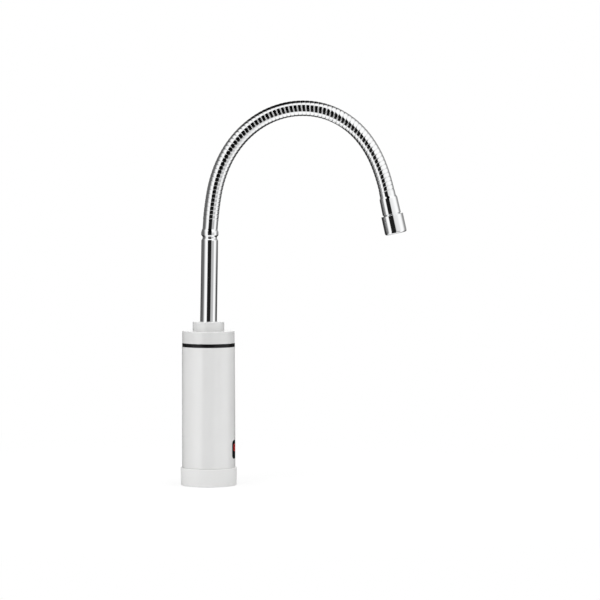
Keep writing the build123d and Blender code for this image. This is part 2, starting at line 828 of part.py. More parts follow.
# Chassis that clamps on the valve, holds the chamber and carries the control board
chassis_outer_x = chassis_x - chassis_thickness / 2
with BuildPart() as chassis:
    with BuildSketch(Plane.XY.offset(chassis_bottom_z)):
        with Locations((chassis_x, 0)):
            Rectangle(chassis_thickness, 2 * chassis_half_width)
    extrude(amount=chassis_top_z - chassis_bottom_z)
    with BuildSketch(Plane.XY.offset(valve_clamp_z)):
        Circle(valve_r + 3)
        with Locations((-15, 0)):
            Rectangle(6, 10)
        Circle(valve_r, mode=Mode.SUBTRACT)
    extrude(amount=valve_clamp_height)
    with BuildSketch(Plane.XY.offset(chamber_clamp_z)):
        with Locations((chamber_x, 0)):
            Circle(chamber_flange_r)
        with Locations((chassis_x + 2, 0)):
            Rectangle(4, 14)
        with Locations((chamber_x, 0)):
            Circle(chamber_r + 0.1, mode=Mode.SUBTRACT)
    extrude(amount=chamber_clamp_height)
    with BuildSketch(Plane.YZ.offset(chassis_outer_x)):
        with Locations(*[(side * post_y, z) for z in (post_low_z, post_high_z) for side in (-1, 1)]):
            Circle(post_r)
    extrude(amount=board_x + board_thickness / 2 - chassis_outer_x)
chassis.part.label = "chassis"
export_step(chassis.part, "parts/chassis.step")

board_outer_x = board_x - board_thickness / 2
with BuildPart() as control_board:
    with BuildSketch(Plane.YZ.offset(board_outer_x)):
        with Locations((0, board_mid_z)):
            Rectangle(board_width, board_height)
    extrude(amount=board_thickness)
    with BuildSketch(Plane.YZ.offset(board_outer_x - board_chip_height)):
        with Locations((0, 130)):
            Rectangle(12, 18)
        with Locations((0, 104)):
            Rectangle(10, 14)
        with Locations((0, 82)):
            Rectangle(13, 8)
    extrude(amount=board_chip_height)
control_board.part.label = "control_board"
export_step(control_board.part, "parts/control_board.step")


# Black trim ring with spigots into the shell and the cap, and a bulkhead for the bearing
with BuildPart() as trim_ring:
    with BuildSketch(Plane.XZ):
        closed_profile(
            (bush_r + 0.1, shell_top_z),
            (spigot_r - 2, shell_top_z),
            (spigot_r - 2, shell_top_z - 6),
            (spigot_r, shell_top_z - 6),
            (spigot_r, shell_top_z),
            (trim_r, shell_top_z),
            (trim_r, trim_top_z),
            (spigot_r - 0.1, trim_top_z),
            (spigot_r - 0.1, trim_top_z + 4),
            (spigot_r - 2, trim_top_z + 4),
            (spigot_r - 2, trim_top_z),
            (bush_r + 0.1, trim_top_z),
        )
    revolve(axis=Axis.Z)
    with BuildSketch(Plane.XY.offset(shell_top_z - 4)):
        with PolarLocations(bush_screw_ring_r, 3, start_angle=180):
            Circle(3)
    extrude(amount=4)
    with BuildSketch(Plane.XY.offset(shell_top_z - 4)):
        with PolarLocations(bush_screw_ring_r, 3, start_angle=180):
            Circle(screw_r)
    extrude(amount=10, mode=Mode.SUBTRACT)
trim_ring.part.label = "trim_ring"
export_step(trim_ring.part, "parts/trim_ring.step")

with BuildPart() as top_cap:
    with BuildSketch(Plane.XZ):
        closed_profile(
            (cap_bottom_r, trim_top_z),
            (cap_top_r, cap_top_z - 0.6),
            (cap_top_r - 0.6, cap_top_z),
            (bush_r + 0.1, cap_top_z),
            (bush_r + 0.1, cap_top_z - cap_roof),
            (cap_bottom_r - cap_wall, cap_top_z - cap_roof),
            (cap_bottom_r - cap_wall, trim_top_z),
        )
    revolve(axis=Axis.Z)
top_cap.part.label = "top_cap"
export_step(top_cap.part, "parts/top_cap.step")


# Spout bearing: bush, screws, split clip, shank with two O-rings and the collar over them
flange_top_z = trim_top_z + bush_flange_thickness
with BuildPart() as spout_bush:
    with BuildSketch(Plane.XZ):
        closed_profile(
            (pipe_r, bush_bottom_z),
            (bush_r, bush_bottom_z),
            (bush_r, trim_top_z),
            (bush_flange_r, trim_top_z),
            (bush_flange_r, flange_top_z),
            (bush_r, flange_top_z),
            (bush_r, bush_top_z),
            (bush_r - 1, bush_top_z),
            (bush_r - 1, clip_bottom_z),
            (bush_bore_r, clip_bottom_z),
            (bush_bore_r, bush_bottom_z + 3),
            (pipe_r, bush_bottom_z + 3),
        )
    revolve(axis=Axis.Z)
    with BuildSketch(Plane.XY.offset(trim_top_z)):
        with PolarLocations(bush_screw_ring_r, 3, start_angle=180):
            Circle(screw_r + 0.1)
    extrude(amount=bush_flange_thickness, mode=Mode.SUBTRACT)
spout_bush.part.label = "spout_bush"
export_step(spout_bush.part, "parts/spout_bush.step")

with BuildPart() as bush_screws:
    with BuildSketch(Plane.XY.offset(shell_top_z - 4)):
        with PolarLocations(bush_screw_ring_r, 3, start_angle=180):
            Circle(screw_r)
    extrude(amount=flange_top_z - shell_top_z + 4)
    with BuildSketch(Plane.XY.offset(flange_top_z)):
        with PolarLocations(bush_screw_ring_r, 3, start_angle=180):
            Circle(screw_head_r)
    extrude(amount=2)
bush_screws.part.label = "bush_screws"
export_step(bush_screws.part, "parts/bush_screws.step")

with BuildPart() as spout_clip:
    with BuildSketch(Plane.XY.offset(clip_bottom_z)):
        Circle(bush_r - 1.1)
        Circle(groove_r + 0.1, mode=Mode.SUBTRACT)
        with Locations((-10.3, 0)):
            Rectangle(4.4, 2, mode=Mode.SUBTRACT)
    extrude(amount=2)
spout_clip.part.label = "spout_clip"
export_step(spout_clip.part, "parts/spout_clip.step")

with BuildPart() as spout_collar:
    with BuildSketch(Plane.XZ):
        closed_profile(
            (bush_r, cap_top_z),
            (collar_r, cap_top_z),
            (collar_r, collar_top_z - 0.5),
            (collar_r - 0.5, collar_top_z),
            (tube_r + 0.3, collar_top_z),
            (tube_r + 0.3, bush_top_z),
            (bush_r, bush_top_z),
        )
    revolve(axis=Axis.Z)
spout_collar.part.label = "spout_collar"
export_step(spout_collar.part, "parts/spout_collar.step")

o_ring_wire_r = 0.72
o_ring_zs = (156.2, 163.2)
o_ring_groove_r = 7.85
with BuildPart() as spout_shank:
    with BuildSketch(Plane.XZ):
        closed_profile(
            (waterway_r, shank_bottom_z),
            (shank_r, shank_bottom_z),
            (shank_r, clip_bottom_z - 0.1),
            (groove_r, clip_bottom_z - 0.1),
            (groove_r, clip_bottom_z + 2.1),
            (shank_r, clip_bottom_z + 2.1),
            (shank_r, tube_bottom_z),
            (tube_r - tube_wall - 0.1, tube_bottom_z),
            (tube_r - tube_wall - 0.1, tube_bottom_z + 2),
            (waterway_r, tube_bottom_z + 2),
        )
    revolve(axis=Axis.Z)
    for ring_z in o_ring_zs:
        with BuildSketch(Plane.XY.offset(ring_z - ring_groove_width / 2)):
            Circle(shank_r + 1)
            Circle(o_ring_groove_r, mode=Mode.SUBTRACT)
        extrude(amount=ring_groove_width, mode=Mode.SUBTRACT)
spout_shank.part.label = "spout_shank"
export_step(spout_shank.part, "parts/spout_shank.step")

with BuildPart() as spout_o_rings:
    with Locations(*[(0, 0, ring_z) for ring_z in o_ring_zs]):
        Torus(o_ring_groove_r + o_ring_wire_r, o_ring_wire_r)
spout_o_rings.part.label = "spout_o_rings"
export_step(spout_o_rings.part, "parts/spout_o_rings.step")


# Chromed spout tube: it leans a little from its foot and is rolled in at the top
lean_heading = 90 - tube_lean
bend_start_z = lean_pivot_z - lean_bend_r * radians(tube_lean) / 2
bend_end_x = lean_bend_r * (1 - cos(radians(tube_lean)))
bend_end_z = bend_start_z + lean_bend_r * sin(radians(tube_lean))
tube_top_x, tube_top_z = point_ahead(0, lean_pivot_z, lean_heading, tube_length_above_pivot)
with BuildPart() as spout_tube:
    with BuildLine(Plane.XZ) as tube_path:
        Line((0, tube_bottom_z), (0, bend_start_z))
        RadiusArc((0, bend_start_z), (bend_end_x, bend_end_z), lean_bend_r)
        Line((bend_end_x, bend_end_z), (tube_top_x, tube_top_z))
    with BuildSketch(Plane.XY.offset(tube_bottom_z)):
        Circle(tube_r)
        Circle(tube_r - tube_wall, mode=Mode.SUBTRACT)
    sweep(path=tube_path.wires()[0])
    with BuildSketch(radial_plane(tube_top_x, tube_top_z, lean_heading)):
        closed_profile(
            (tube_r - tube_wall, 0),
            (tube_r, 0),
            (rolled_end_r, rolled_end_length),
            (rolled_end_r - tube_wall, rolled_end_length),
        )
    revolve(axis=heading_axis(tube_top_x, tube_top_z, lean_heading))
spout_tube.part.label = "spout_tube"
export_step(spout_tube.part, "parts/spout_tube.step")


# Crimped sleeve: a rounded bead on the tube, then a plain sleeve that leans a little more
sleeve_heading = lean_heading - sleeve_kink
bead_x, bead_z = point_ahead(0, lean_pivot_z, lean_heading, bead_start)
kink_x, kink_z = point_ahead(0, lean_pivot_z, lean_heading, bead_end)
neck_x, neck_z = point_ahead(kink_x, kink_z, sleeve_heading, sleeve_length)
bead_length = bead_end - bead_start
with BuildPart() as hose_sleeve:
    with BuildSketch(radial_plane(bead_x, bead_z, lean_heading)):
        with BuildLine():
            Polyline(
                (bead_bore_r, bead_length + 0.5),
                (bead_bore_r, -bead_liner_length),
                (rolled_end_r - tube_wall, -bead_liner_length),
                (rolled_end_r - tube_wall, 0),
                (rolled_end_r, 0),
            )
            ThreePointArc((rolled_end_r, 0), (bead_r, 4), (sleeve_r, bead_length))
            Line((sleeve_r, bead_length), (sleeve_r - 0.4, bead_length + 0.5))
            Line((sleeve_r - 0.4, bead_length + 0.5), (bead_bore_r, bead_length + 0.5))
        make_face()
    revolve(axis=heading_axis(bead_x, bead_z, lean_heading))
    with BuildSketch(radial_plane(kink_x, kink_z, sleeve_heading)):
        closed_profile(
            (0, -1),
            (sleeve_r, -1),
            (sleeve_r, sleeve_length - 0.5),
            (0, sleeve_length - 0.5),
        )
    revolve(axis=heading_axis(kink_x, kink_z, sleeve_heading))
    with Locations((neck_x, 0, neck_z)):
        Sphere(ball_r)
    split(bisect_by=cross_plane((neck_x, neck_z, sleeve_heading)).offset(ball_reach), keep=Keep.BOTTOM)
    with BuildSketch(cross_plane((neck_x, neck_z, sleeve_heading)).offset(ball_reach)):
        Circle(hose_bore_r)
    extrude(amount=-(sleeve_length + ball_reach + 2), mode=Mode.SUBTRACT)
hose_sleeve.part.label = "hose_sleeve"
export_step(hose_sleeve.part, "parts/hose_sleeve.step")


# Ribbed neck lengths: each has a cup at its start and, but for the last, a ball at its end
def neck_link(number, start, bend, has_ball):
    end = along_link(start, bend, link_length)
    with BuildPart() as link:
        for rib in range(ribs_per_link):
            for share, ring_r in (
                (-rib_foot_share, rib_valley_r),
                (-rib_crest_share, rib_crest_r),
                (rib_crest_share, rib_crest_r),
                (rib_foot_share, rib_valley_r),
            ):
                distance = (rib + 0.5 + share / 2) * rib_pitch
                with BuildSketch(cross_plane(along_link(start, bend, distance))):
                    Circle(ring_r)
        loft(ruled=True)
        if has_ball:
            with Locations((end[0], 0, end[1])):
                Sphere(ball_r)
            split(bisect_by=cross_plane(end).offset(ball_reach), keep=Keep.BOTTOM)
        with Locations((start[0], 0, start[1])):
            Sphere(cup_r, mode=Mode.SUBTRACT)
        overrun = ball_reach + 1
        before = point_ahead(*start, -overrun)
        after = point_ahead(*end, overrun)
        middle = along_link(start, bend, link_length / 2)
        with BuildLine(Plane.XZ) as bore_path:
            Line(before, start[:2])
            ThreePointArc(start[:2], middle[:2], end[:2])
            Line(end[:2], after)
        with BuildSketch(cross_plane((*before, start[2]))):
            Circle(hose_bore_r)
        sweep(path=bore_path.wires()[0], mode=Mode.SUBTRACT)
    name = f"neck_link_{number:02d}"
    link.part.label = name
    export_step(link.part, f"parts/{name}.step")
    return end


place = (neck_x, neck_z, sleeve_heading)
hinge_places = []
for number, bend in enumerate(link_bends, start=1):
    hinge_places.append(place)
    place = neck_link(number, place, bend, has_ball=number < len(link_bends))
nozzle_x, nozzle_z, nozzle_heading = place

for number, (x, z, heading) in enumerate(hinge_places, start=1):
    print(f"neck hinge {number}: x {x:.3f} z {z:.3f} heading {heading:.2f}")
print(f"nozzle starts at x {nozzle_x:.3f} z {nozzle_z:.3f} heading {nozzle_heading:.2f}")


# Nozzle: crimped sleeve with a cone, the outlet housing, and the aerator inside it
nozzle_plane = radial_plane(nozzle_x, nozzle_z, nozzle_heading)
nozzle_axis = heading_axis(nozzle_x, nozzle_z, nozzle_heading)
link_end_gap = (1 - rib_foot_share) / 2 * rib_pitch
with BuildPart() as nozzle_ferrule:
    with BuildSketch(nozzle_plane):
        closed_profile(
            (hose_bore_r, -link_end_gap),
            (ferrule_r - 0.5, -link_end_gap),
            (ferrule_r, 0),
            (ferrule_r, ferrule_length),
            (cone_start_r, cone_start),
            (cone_end_r, cone_end),
            (cone_end_r - 0.5, cone_end + 0.8),
            (cone_end_r - 0.5, housing_start),
            (cone_end_r - 1.2, housing_start),
            (cone_end_r - 1.2, housing_start + 4),
            (nozzle_bore_r, housing_start + 4),
            (nozzle_bore_r, cone_start + 4),
            (hose_bore_r, cone_start),
        )
    revolve(axis=nozzle_axis)
nozzle_ferrule.part.label = "nozzle_ferrule"
export_step(nozzle_ferrule.part, "parts/nozzle_ferrule.step")

housing_ledge = housing_start + 4.2
aerator_start = housing_end - aerator_depth
aerator_length = aerator_depth - aerator_recess
with BuildPart() as nozzle_housing:
    with BuildSketch(nozzle_plane):
        closed_profile(
            (cone_end_r - 1.2, housing_start),
            (housing_top_r - 0.7, housing_start),
            (housing_top_r, housing_start + 0.7),
            (housing_mouth_r, housing_end - 0.6),
            (housing_mouth_r - 0.6, housing_end),
            (aerator_r, housing_end),
            (aerator_r, aerator_start - 1.5),
            (nozzle_bore_r, aerator_start - 1.5),
            (nozzle_bore_r, housing_ledge),
            (cone_end_r - 1.2, housing_ledge),
        )
    revolve(axis=nozzle_axis)
nozzle_housing.part.label = "nozzle_housing"
export_step(nozzle_housing.part, "parts/nozzle_housing.step")

with BuildPart() as aerator_washer:
    with BuildSketch(nozzle_plane):
        closed_profile(
            (nozzle_bore_r, aerator_start - 1.5),
            (aerator_r, aerator_start - 1.5),
            (aerator_r, aerator_start),
            (nozzle_bore_r, aerator_start),
        )
    revolve(axis=nozzle_axis)
aerator_washer.part.label = "aerator_washer"
export_step(aerator_washer.part, "parts/aerator_washer.step")

aerator_place = (*point_ahead(nozzle_x, nozzle_z, nozzle_heading, aerator_start), nozzle_heading)
aerator_plane = cross_plane(aerator_place)
with BuildPart() as aerator_insert:
    with BuildSketch(aerator_plane):
        Circle(aerator_r)
    extrude(amount=aerator_length)
    with BuildSketch(aerator_plane):
        Circle(8.6)
    extrude(amount=2, mode=Mode.SUBTRACT)
    with BuildSketch(aerator_plane.offset(aerator_length)):
        Circle(8.8)
    extrude(amount=-3, mode=Mode.SUBTRACT)
    with BuildSketch(aerator_plane.offset(2)):
        Circle(aerator_hole_r)
        for ring_r, count in aerator_hole_rings:
            with PolarLocations(ring_r, count):
                Circle(aerator_hole_r)
    extrude(amount=8, mode=Mode.SUBTRACT)
aerator_insert.part.label = "aerator_insert"
export_step(aerator_insert.part, "parts/aerator_insert.step")
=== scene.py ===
import json
from math import atan2, cos, degrees, hypot, pi, radians, sin, sqrt

import bpy
import numpy as np
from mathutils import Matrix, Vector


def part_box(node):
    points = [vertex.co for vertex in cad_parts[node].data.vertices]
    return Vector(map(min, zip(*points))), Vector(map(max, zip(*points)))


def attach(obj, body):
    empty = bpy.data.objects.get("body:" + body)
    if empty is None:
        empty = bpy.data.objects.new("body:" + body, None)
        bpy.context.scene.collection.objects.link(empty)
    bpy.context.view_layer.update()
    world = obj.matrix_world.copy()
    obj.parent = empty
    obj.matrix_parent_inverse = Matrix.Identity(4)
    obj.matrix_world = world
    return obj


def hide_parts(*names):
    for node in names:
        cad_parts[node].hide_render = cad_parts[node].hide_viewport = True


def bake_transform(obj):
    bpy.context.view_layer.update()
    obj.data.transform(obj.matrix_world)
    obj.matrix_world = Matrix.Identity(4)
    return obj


# Looks of the electric instant water heater tap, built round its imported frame.
# Sizes here are millimetres and angles degrees. A mesh is written in metres.
# Origin at the centre of the foot's underside, +Z up, +X towards the nozzle, +Y towards the lever.

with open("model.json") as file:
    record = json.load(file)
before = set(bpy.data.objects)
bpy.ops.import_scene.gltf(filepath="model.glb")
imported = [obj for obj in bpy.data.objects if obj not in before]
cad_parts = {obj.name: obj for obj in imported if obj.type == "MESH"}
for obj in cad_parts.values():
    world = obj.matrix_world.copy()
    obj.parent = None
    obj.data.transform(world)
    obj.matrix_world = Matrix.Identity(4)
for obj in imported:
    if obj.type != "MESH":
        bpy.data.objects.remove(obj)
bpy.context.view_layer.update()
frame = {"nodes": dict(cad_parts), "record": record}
metre = 0.001

# Lowest and highest corners of the frame nodes that the body column is measured from
foot_box, shell_box, trim_box, cap_box, collar_box = (
    np.array(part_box(node)) / metre
    for node in ("foot_ring", "body_shell", "trim_ring", "top_cap", "spout_collar")
)

# Body column. A rise takes a drawn edge up to where the photo has it
shell_top_rise, cap_bottom_rise, cap_top_rise, collar_top_rise = 0.4, 1.1, 0.9, 0.2
foot_flare, cap_draft = 0.5, 0.15
shell_wall, spigot_gap, small_gap, spigot_wall = 2.5, 0.15, 0.1, 2.0
foot_top_r = foot_box[1, 0]
body_r = shell_box[1, 1]
foot_top_z = shell_box[0, 2]
shell_top_z = shell_box[1, 2] + shell_top_rise
trim_r = trim_box[1, 0]
cap_bottom_z = cap_box[0, 2] + cap_bottom_rise
cap_top_z = cap_box[1, 2] + cap_top_rise
cap_bottom_r = cap_box[1, 0]
collar_r = collar_box[1, 0]
collar_top_z = collar_box[1, 2] + collar_top_rise
foot_bottom_r = foot_top_r - foot_flare
cap_top_r = cap_bottom_r - cap_draft
shell_inner_r = body_r - shell_wall
spigot_r = shell_inner_r - spigot_gap
spigot_inner_r = spigot_r - spigot_wall
trim_upper_r = spigot_r - small_gap
gasket_r, gasket_height, foot_inner_r = 30.2, 1.6, 27.6
web_bottom_z, web_top_z, web_hole_r = 7.0, 10.0, 16.5
foot_spigot_z = 28.0
trim_spigot_down, trim_spigot_up = 6.0, 4.0
cap_wall, cap_roof = 2.4, 3.0
bearing_hole_r = 13.1
bush_r, bush_top_z = 13.0, 178.0
collar_bore_r = 9.75

# Display window and the lit number on it
window_half_width, window_half_height, window_corner_r = 13.1, 10.5, 4.5
window_mid_z = 40.8
window_gap, window_lip, window_thickness = 0.1, 1.1, 2.0
digit_mid_z = 42.8
digit_height, digit_width = 7.8, 6.0
digit_starts = (-9.7, -1.4)
digit_text = ("acdefg", "abcdef")
bar_half_width, bar_gap = 0.55, 0.12
degree_place = (8.2, 2.9)
degree_r, degree_half_width = 0.85, 0.25
lit_face_r, lit_buried_r, lit_edge = body_r + 0.08, body_r - 0.1, 0.02

# Lever and its bonnet
hub_z, hub_r = 62.0, 13.5
lever_back_y, arm_back_y, lever_front_y = 34.4, 39.5, 46.0
lever_tip_z = 122.0
arm_tip_r, arm_root_half_width, arm_fillet_r = 5.0, 7.5, 9.0
ramp_start, ramp_length = 10.0, 9.0
badge_r, badge_depth, badge_proud = 4.95, 1.2, 0.3
bonnet_back_y, bonnet_plate_y, bonnet_front_y = 24.0, 32.0, 34.0
bonnet_inner_r, bonnet_bore_r = 10.8, 7.05
shell_hole_r = 11.0

# Spout, measured along its own line from the pivot
pivot_z = 180.0
tube_lean = 0.95
tube_r, tube_wall = 9.57, 1.0
tube_buried, tube_end = 4.0, 99.6
groove_r, bead_r, sleeve_r = 8.25, 9.9, 8.65
sleeve_bore_r = 5.6
sleeve_kink = 3.5
tube_run, sleeve_run = 107.0, 11.2
neck_start = tube_run + sleeve_run

# Ribbed neck
link_length = 32.641
link_bends = [5.8, 13.4, 16.1, 18.0, 20.3, 20.9, 22.3, 20.9, 16.0, 9.4]
rib_pitch = 4.69
rib_crest_r, rib_valley_r = 8.87, 8.63
crest_half_share, wall_share, crown_share = 0.335, 0.145, 0.25
hose_bore_r = 5.0
nozzle_start = neck_start + link_length * len(link_bends)

# Nozzle, measured from the end of the neck
ferrule_r, ferrule_lap, ferrule_length = 9.1, 0.3, 5.7
cone_start, cone_end, ferrule_end = 8.1, 25.8, 32.4
cone_start_r, cone_end_r = 10.3, 10.6
seam_r, tail_r = cone_end_r - 0.8, cone_end_r - 1.4
housing_start, housing_end = 27.3, 48.7
housing_top_r, housing_mouth_r = 12.6, 12.5
housing_ledge, washer_seat = 32.6, 36.5
aerator_r, nozzle_bore_r = 10.6, 7.5


# Outlines

def unit(vectors):
    """Vectors of length 1 in the same directions."""
    return vectors / np.linalg.norm(vectors, axis=-1, keepdims=True)


def ways(turn):
    """Flat unit directions from their angles."""
    return np.stack([np.cos(turn), np.sin(turn)], axis=-1)


small_fillet = 0.1


def rounded_profile(corners, arc_steps=6):
    """Closed anticlockwise outline through (radius, height, fillet) corners, and its outward unit
    normals. Each corner is an arc that touches both sides. Its radius is small where none is given."""
    corner = np.array([(*place, small_fillet)[:3] for place in corners], float)
    place, fillet = corner[:, :2], corner[:, 2:]
    ahead = unit(np.roll(place, -1, axis=0) - place)
    before = np.roll(ahead, 1, axis=0)
    start = np.arctan2(before[:, 1], before[:, 0])[:, None]
    turn = (np.arctan2(ahead[:, 1], ahead[:, 0])[:, None] - start + pi) % (2 * pi) - pi
    side_r = fillet * np.sign(turn)
    left = before[:, ::-1] * (-1, 1)
    centre = place - before * fillet * np.tan(np.abs(turn) / 2) + left * side_r
    heading = start + turn * np.linspace(0, 1, arc_steps + 1)
    normals = ways(heading)[..., ::-1] * (1, -1)
    points = centre[:, None] + normals * side_r[:, None]
    return points.reshape(-1, 2), normals.reshape(-1, 2)


def eased_profile(knots, closing, steps=14):
    """Closed outline, and its outward unit normals. The outer side goes between (distance, radius) knots
    along half cosine waves, and the rest comes back through the closing corners."""
    knots = np.array(knots, float)
    share = np.linspace(0, 1, steps, endpoint=False)
    length, rise = np.diff(knots, axis=0).T[..., None]
    along = np.append(knots[:-1, :1] + length * share, knots[-1, 0])
    radius = np.append(knots[:-1, 1:] + rise * (1 - np.cos(pi * share)) / 2, knots[-1, 1])
    slope = np.append(rise / length * pi / 2 * np.sin(pi * share), 0)
    outer = np.stack([radius, along], axis=1)
    facing = np.stack([np.ones_like(slope), -slope], axis=1)
    back = np.array(closing, float)
    ends = np.concatenate([outer[-1:], back, outer[:1]])
    tangent = ends[2:] - ends[:-2]
    normals = np.concatenate([facing, tangent[:, ::-1] * (1, -1)])
    return np.concatenate([outer, back]), unit(normals)


def rounded_outline(half_width, half_height, corner_r, counts):
    """Outline of a rounded rectangle, and its outward normals. Each side runs from the middle of one
    corner arc to the middle of the next, in its count of even steps."""
    points, normals = [], []
    halves = half_width, half_height
    sides = (((1, 0), (0, -1)), ((0, 1), (1, 0)), ((-1, 0), (0, 1)), ((0, -1), (-1, 0)))
    for number, (travel, outward) in enumerate(sides):
        straight = halves[number % 2] - corner_r
        half_run = straight + corner_r * pi / 4
        run = np.linspace(-half_run, half_run, counts[number], endpoint=False)[:, None]
        angle = np.sign(run) * np.maximum(np.abs(run) - straight, 0) / corner_r
        along = np.clip(run, -straight, straight) + corner_r * np.sin(angle)
        depth = halves[1 - number % 2] - corner_r + corner_r * np.cos(angle)
        points.append(along * travel + depth * outward)
        normals.append(np.sin(angle) * travel + np.cos(angle) * outward)
    return np.concatenate(points), np.concatenate(normals)


# Lines that an outline is carried along: centre, two directions across and one along, per distance

def straight_line(origin, outward, along):
    """Straight line across which +X lies: the centre is the origin plus the distance along the line."""
    def line(distance):
        spread = np.ones((len(distance), 1))
        return origin + distance[:, None] * along, spread * (1, 0, 0), spread * outward, spread * along
    return line


column_line = straight_line((0, 0, 0), (0, 1, 0), (0, 0, 1))
lever_line = straight_line((0, 0, hub_z), (0, 0, 1), (0, 1, 0))


def spout_runs():
    """Start distance, length, start heading, bend, and start point of every run of the spout's line."""
    lengths = [tube_run, sleeve_run] + [link_length] * len(link_bends) + [60.0]
    kinks = [0.0, sleeve_kink] + [0.0] * (len(link_bends) + 1)
    bends = [0.0, 0.0] + link_bends + [0.0]
    runs, start, heading, x, z = [], 0.0, 90 - tube_lean, 0.0, pivot_z
    for length, kink, bend in zip(lengths, kinks, bends):
        heading -= kink
        runs.append((start, length, heading, bend, x, z))
        chord = length * np.sinc(bend / 360)
        x += chord * cos(radians(heading - bend / 2))
        z += chord * sin(radians(heading - bend / 2))
        start += length
        heading -= bend
    return np.array(runs)


spout_table = spout_runs()


def run_at(distance):
    """Number of the run that a distance falls in."""
    return np.clip(np.searchsorted(spout_table[:, 0], distance, side="right") - 1, 0, None)


def spout_line(distance):
    """The spout's line: straight runs joined by even bends. A point lies on the chord of its part of the
    bend, whose length is the arc's times the sine of half the turn over half the turn."""
    distance = np.asarray(distance, float)
    start, length, heading, bend, x, z = spout_table[run_at(distance)].T
    heading = np.where(distance < 0, 90.0, heading)
    ahead = distance - start
    turned = bend * ahead / length
    chord = ahead * np.sinc(turned / 360)
    toward = np.radians(heading - turned / 2)
    final = np.radians(heading - turned)
    zero = np.zeros_like(final)
    centre = np.stack([x + chord * np.cos(toward), zero, z + chord * np.sin(toward)], axis=1)
    across = np.stack([zero, zero - 1, zero], axis=1)
    outward = np.stack([-np.sin(final), zero, np.cos(final)], axis=1)
    along = np.stack([np.cos(final), zero, np.sin(final)], axis=1)
    return centre, across, outward, along


# Surfaces: a patch is its points, its outward normals and its four-cornered faces

def grid_patch(points, normals, rows_closed=False, columns_closed=False, keep=None):
    """Patch from a grid of points, one face a cell. A closed direction joins its end to its start."""
    rows, columns = points.shape[:2]
    index = np.arange(rows * columns).reshape(rows, columns)
    index = np.concatenate([index, index[:1]]) if rows_closed else index
    index = np.concatenate([index, index[:, :1]], axis=1) if columns_closed else index
    faces = np.stack([index[:-1, :-1], index[:-1, 1:], index[1:, 1:], index[1:, :-1]], axis=2)
    faces = faces.reshape(-1, 4) if keep is None else faces[keep]
    flat, facing = points.reshape(-1, 3), normals.reshape(-1, 3)
    diagonals = flat[faces[:, 2]] - flat[faces[:, 0]], flat[faces[:, 3]] - flat[faces[:, 1]]
    agreement = np.sum(np.cross(*diagonals) * facing[faces].sum(axis=1))
    return flat, facing, faces if agreement > 0 else faces[:, ::-1]


def ring_patch(rings, rows_closed=False):
    """Patch from rings, each closed on itself, of points and their normals."""
    places, normals = (np.stack(part) for part in zip(*rings))
    return grid_patch(places, normals, rows_closed, True)


def grid_normals(points):
    """Unit normals of a closed grid of points: the cross product of the steps along its rows and
    columns, turned to face out."""
    normals = np.cross(np.gradient(points, axis=0), np.gradient(points, axis=1))
    normals /= np.maximum(np.linalg.norm(normals, axis=2, keepdims=True), 1e-12)
    outside = np.sum(normals * (points - points.mean(axis=(0, 1))))
    return normals * np.sign(outside)


def turned_patch(profile, line, sides, rows_closed=True):
    """An outline carried round a line: each point's centre on the line at its height, plus its radius
    in the direction of its angle."""
    points, normals = profile
    centre, across, outward, along = (part[:, None] for part in line(points[:, 1]))
    angle = np.linspace(0, 2 * pi, sides, endpoint=False)[None, :, None]
    ring = across * np.cos(angle) + outward * np.sin(angle)
    places = centre + ring * points[:, :1, None]
    facing = ring * normals[:, :1, None] + along * normals[:, 1:, None]
    return grid_patch(places, facing, rows_closed, True)


def welded(points, normals, faces):
    """Points in the same place become one. A face that loses a corner becomes a triangle, and one that
    loses two goes."""
    weld_step, off_grid = 1e-4, 0.31
    keys = np.round(points / weld_step + off_grid).astype(np.int64)
    _, first, index = np.unique(keys, axis=0, return_index=True, return_inverse=True)
    faces = index.reshape(-1)[faces]
    same = faces == np.roll(faces, -1, axis=1)
    lost = same.sum(axis=1)
    corners = (same[lost == 1].argmax(axis=1)[:, None] + [1, 2, 3]) % 4
    triangles = np.take_along_axis(faces[lost == 1], corners, axis=1)
    return first, faces[lost == 0], triangles


def add_object(name, data):
    """Object in the scene for a mesh, a camera or a lamp."""
    thing = bpy.data.objects.new(name, data)
    bpy.context.scene.collection.objects.link(thing)
    return thing


def add_piece(name, patches, slot, finish=None, groove=None):
    """Mesh object of the patches, with exact normals, one material, and its depth of groove if any."""
    points, normals, faces = zip(*patches)
    starts = np.cumsum([0] + [len(part) for part in points])
    faces = np.concatenate([part + start for part, start in zip(faces, starts)])
    points, normals = np.concatenate(points), np.concatenate(normals)
    first, quads, triangles = welded(points, normals, faces)
    mesh = bpy.data.meshes.new(name)
    mesh.from_pydata((points[first] * metre).tolist(), [], quads.tolist() + triangles.tolist())
    mesh.shade_smooth()
    if groove is not None:
        attribute = mesh.attributes.new("groove", "FLOAT", "POINT")
        attribute.data.foreach_set("value", groove[first].astype(np.float32))
    mesh.normals_split_custom_set_from_vertices(normals[first].tolist())
    mesh.materials.append(finishes[finish or slot])
    thing = add_object(name, mesh)
    return thing


# Node helpers

def fill_inputs(tree, node, inputs):
    """An input given as a socket is linked, and any other is a plain value."""
    for key, value in inputs.items():
        if isinstance(value, bpy.types.NodeSocket):
            tree.links.new(value, node.inputs[key])
        else:
            node.inputs[key].default_value = value


def add_node(tree, kind, inputs=None, **settings):
    """A shader node with its settings and inputs."""
    node = tree.nodes.new("ShaderNode" + kind)
    for key, value in settings.items():
        setattr(node, key, value)
    fill_inputs(tree, node, inputs or {})
    return node


def maths(tree, operation, *values):
    """Result of a maths node."""
    return add_node(tree, "Math", dict(enumerate(values)), operation=operation).outputs["Value"]


def vector_maths(tree, operation, *values):
    """Result of a vector maths node: a number for a dot product or a length, and a vector otherwise."""
    node = add_node(tree, "VectorMath", dict(enumerate(values)), operation=operation)
    return node.outputs["Value" if operation in ("DOT_PRODUCT", "LENGTH") else "Vector"]


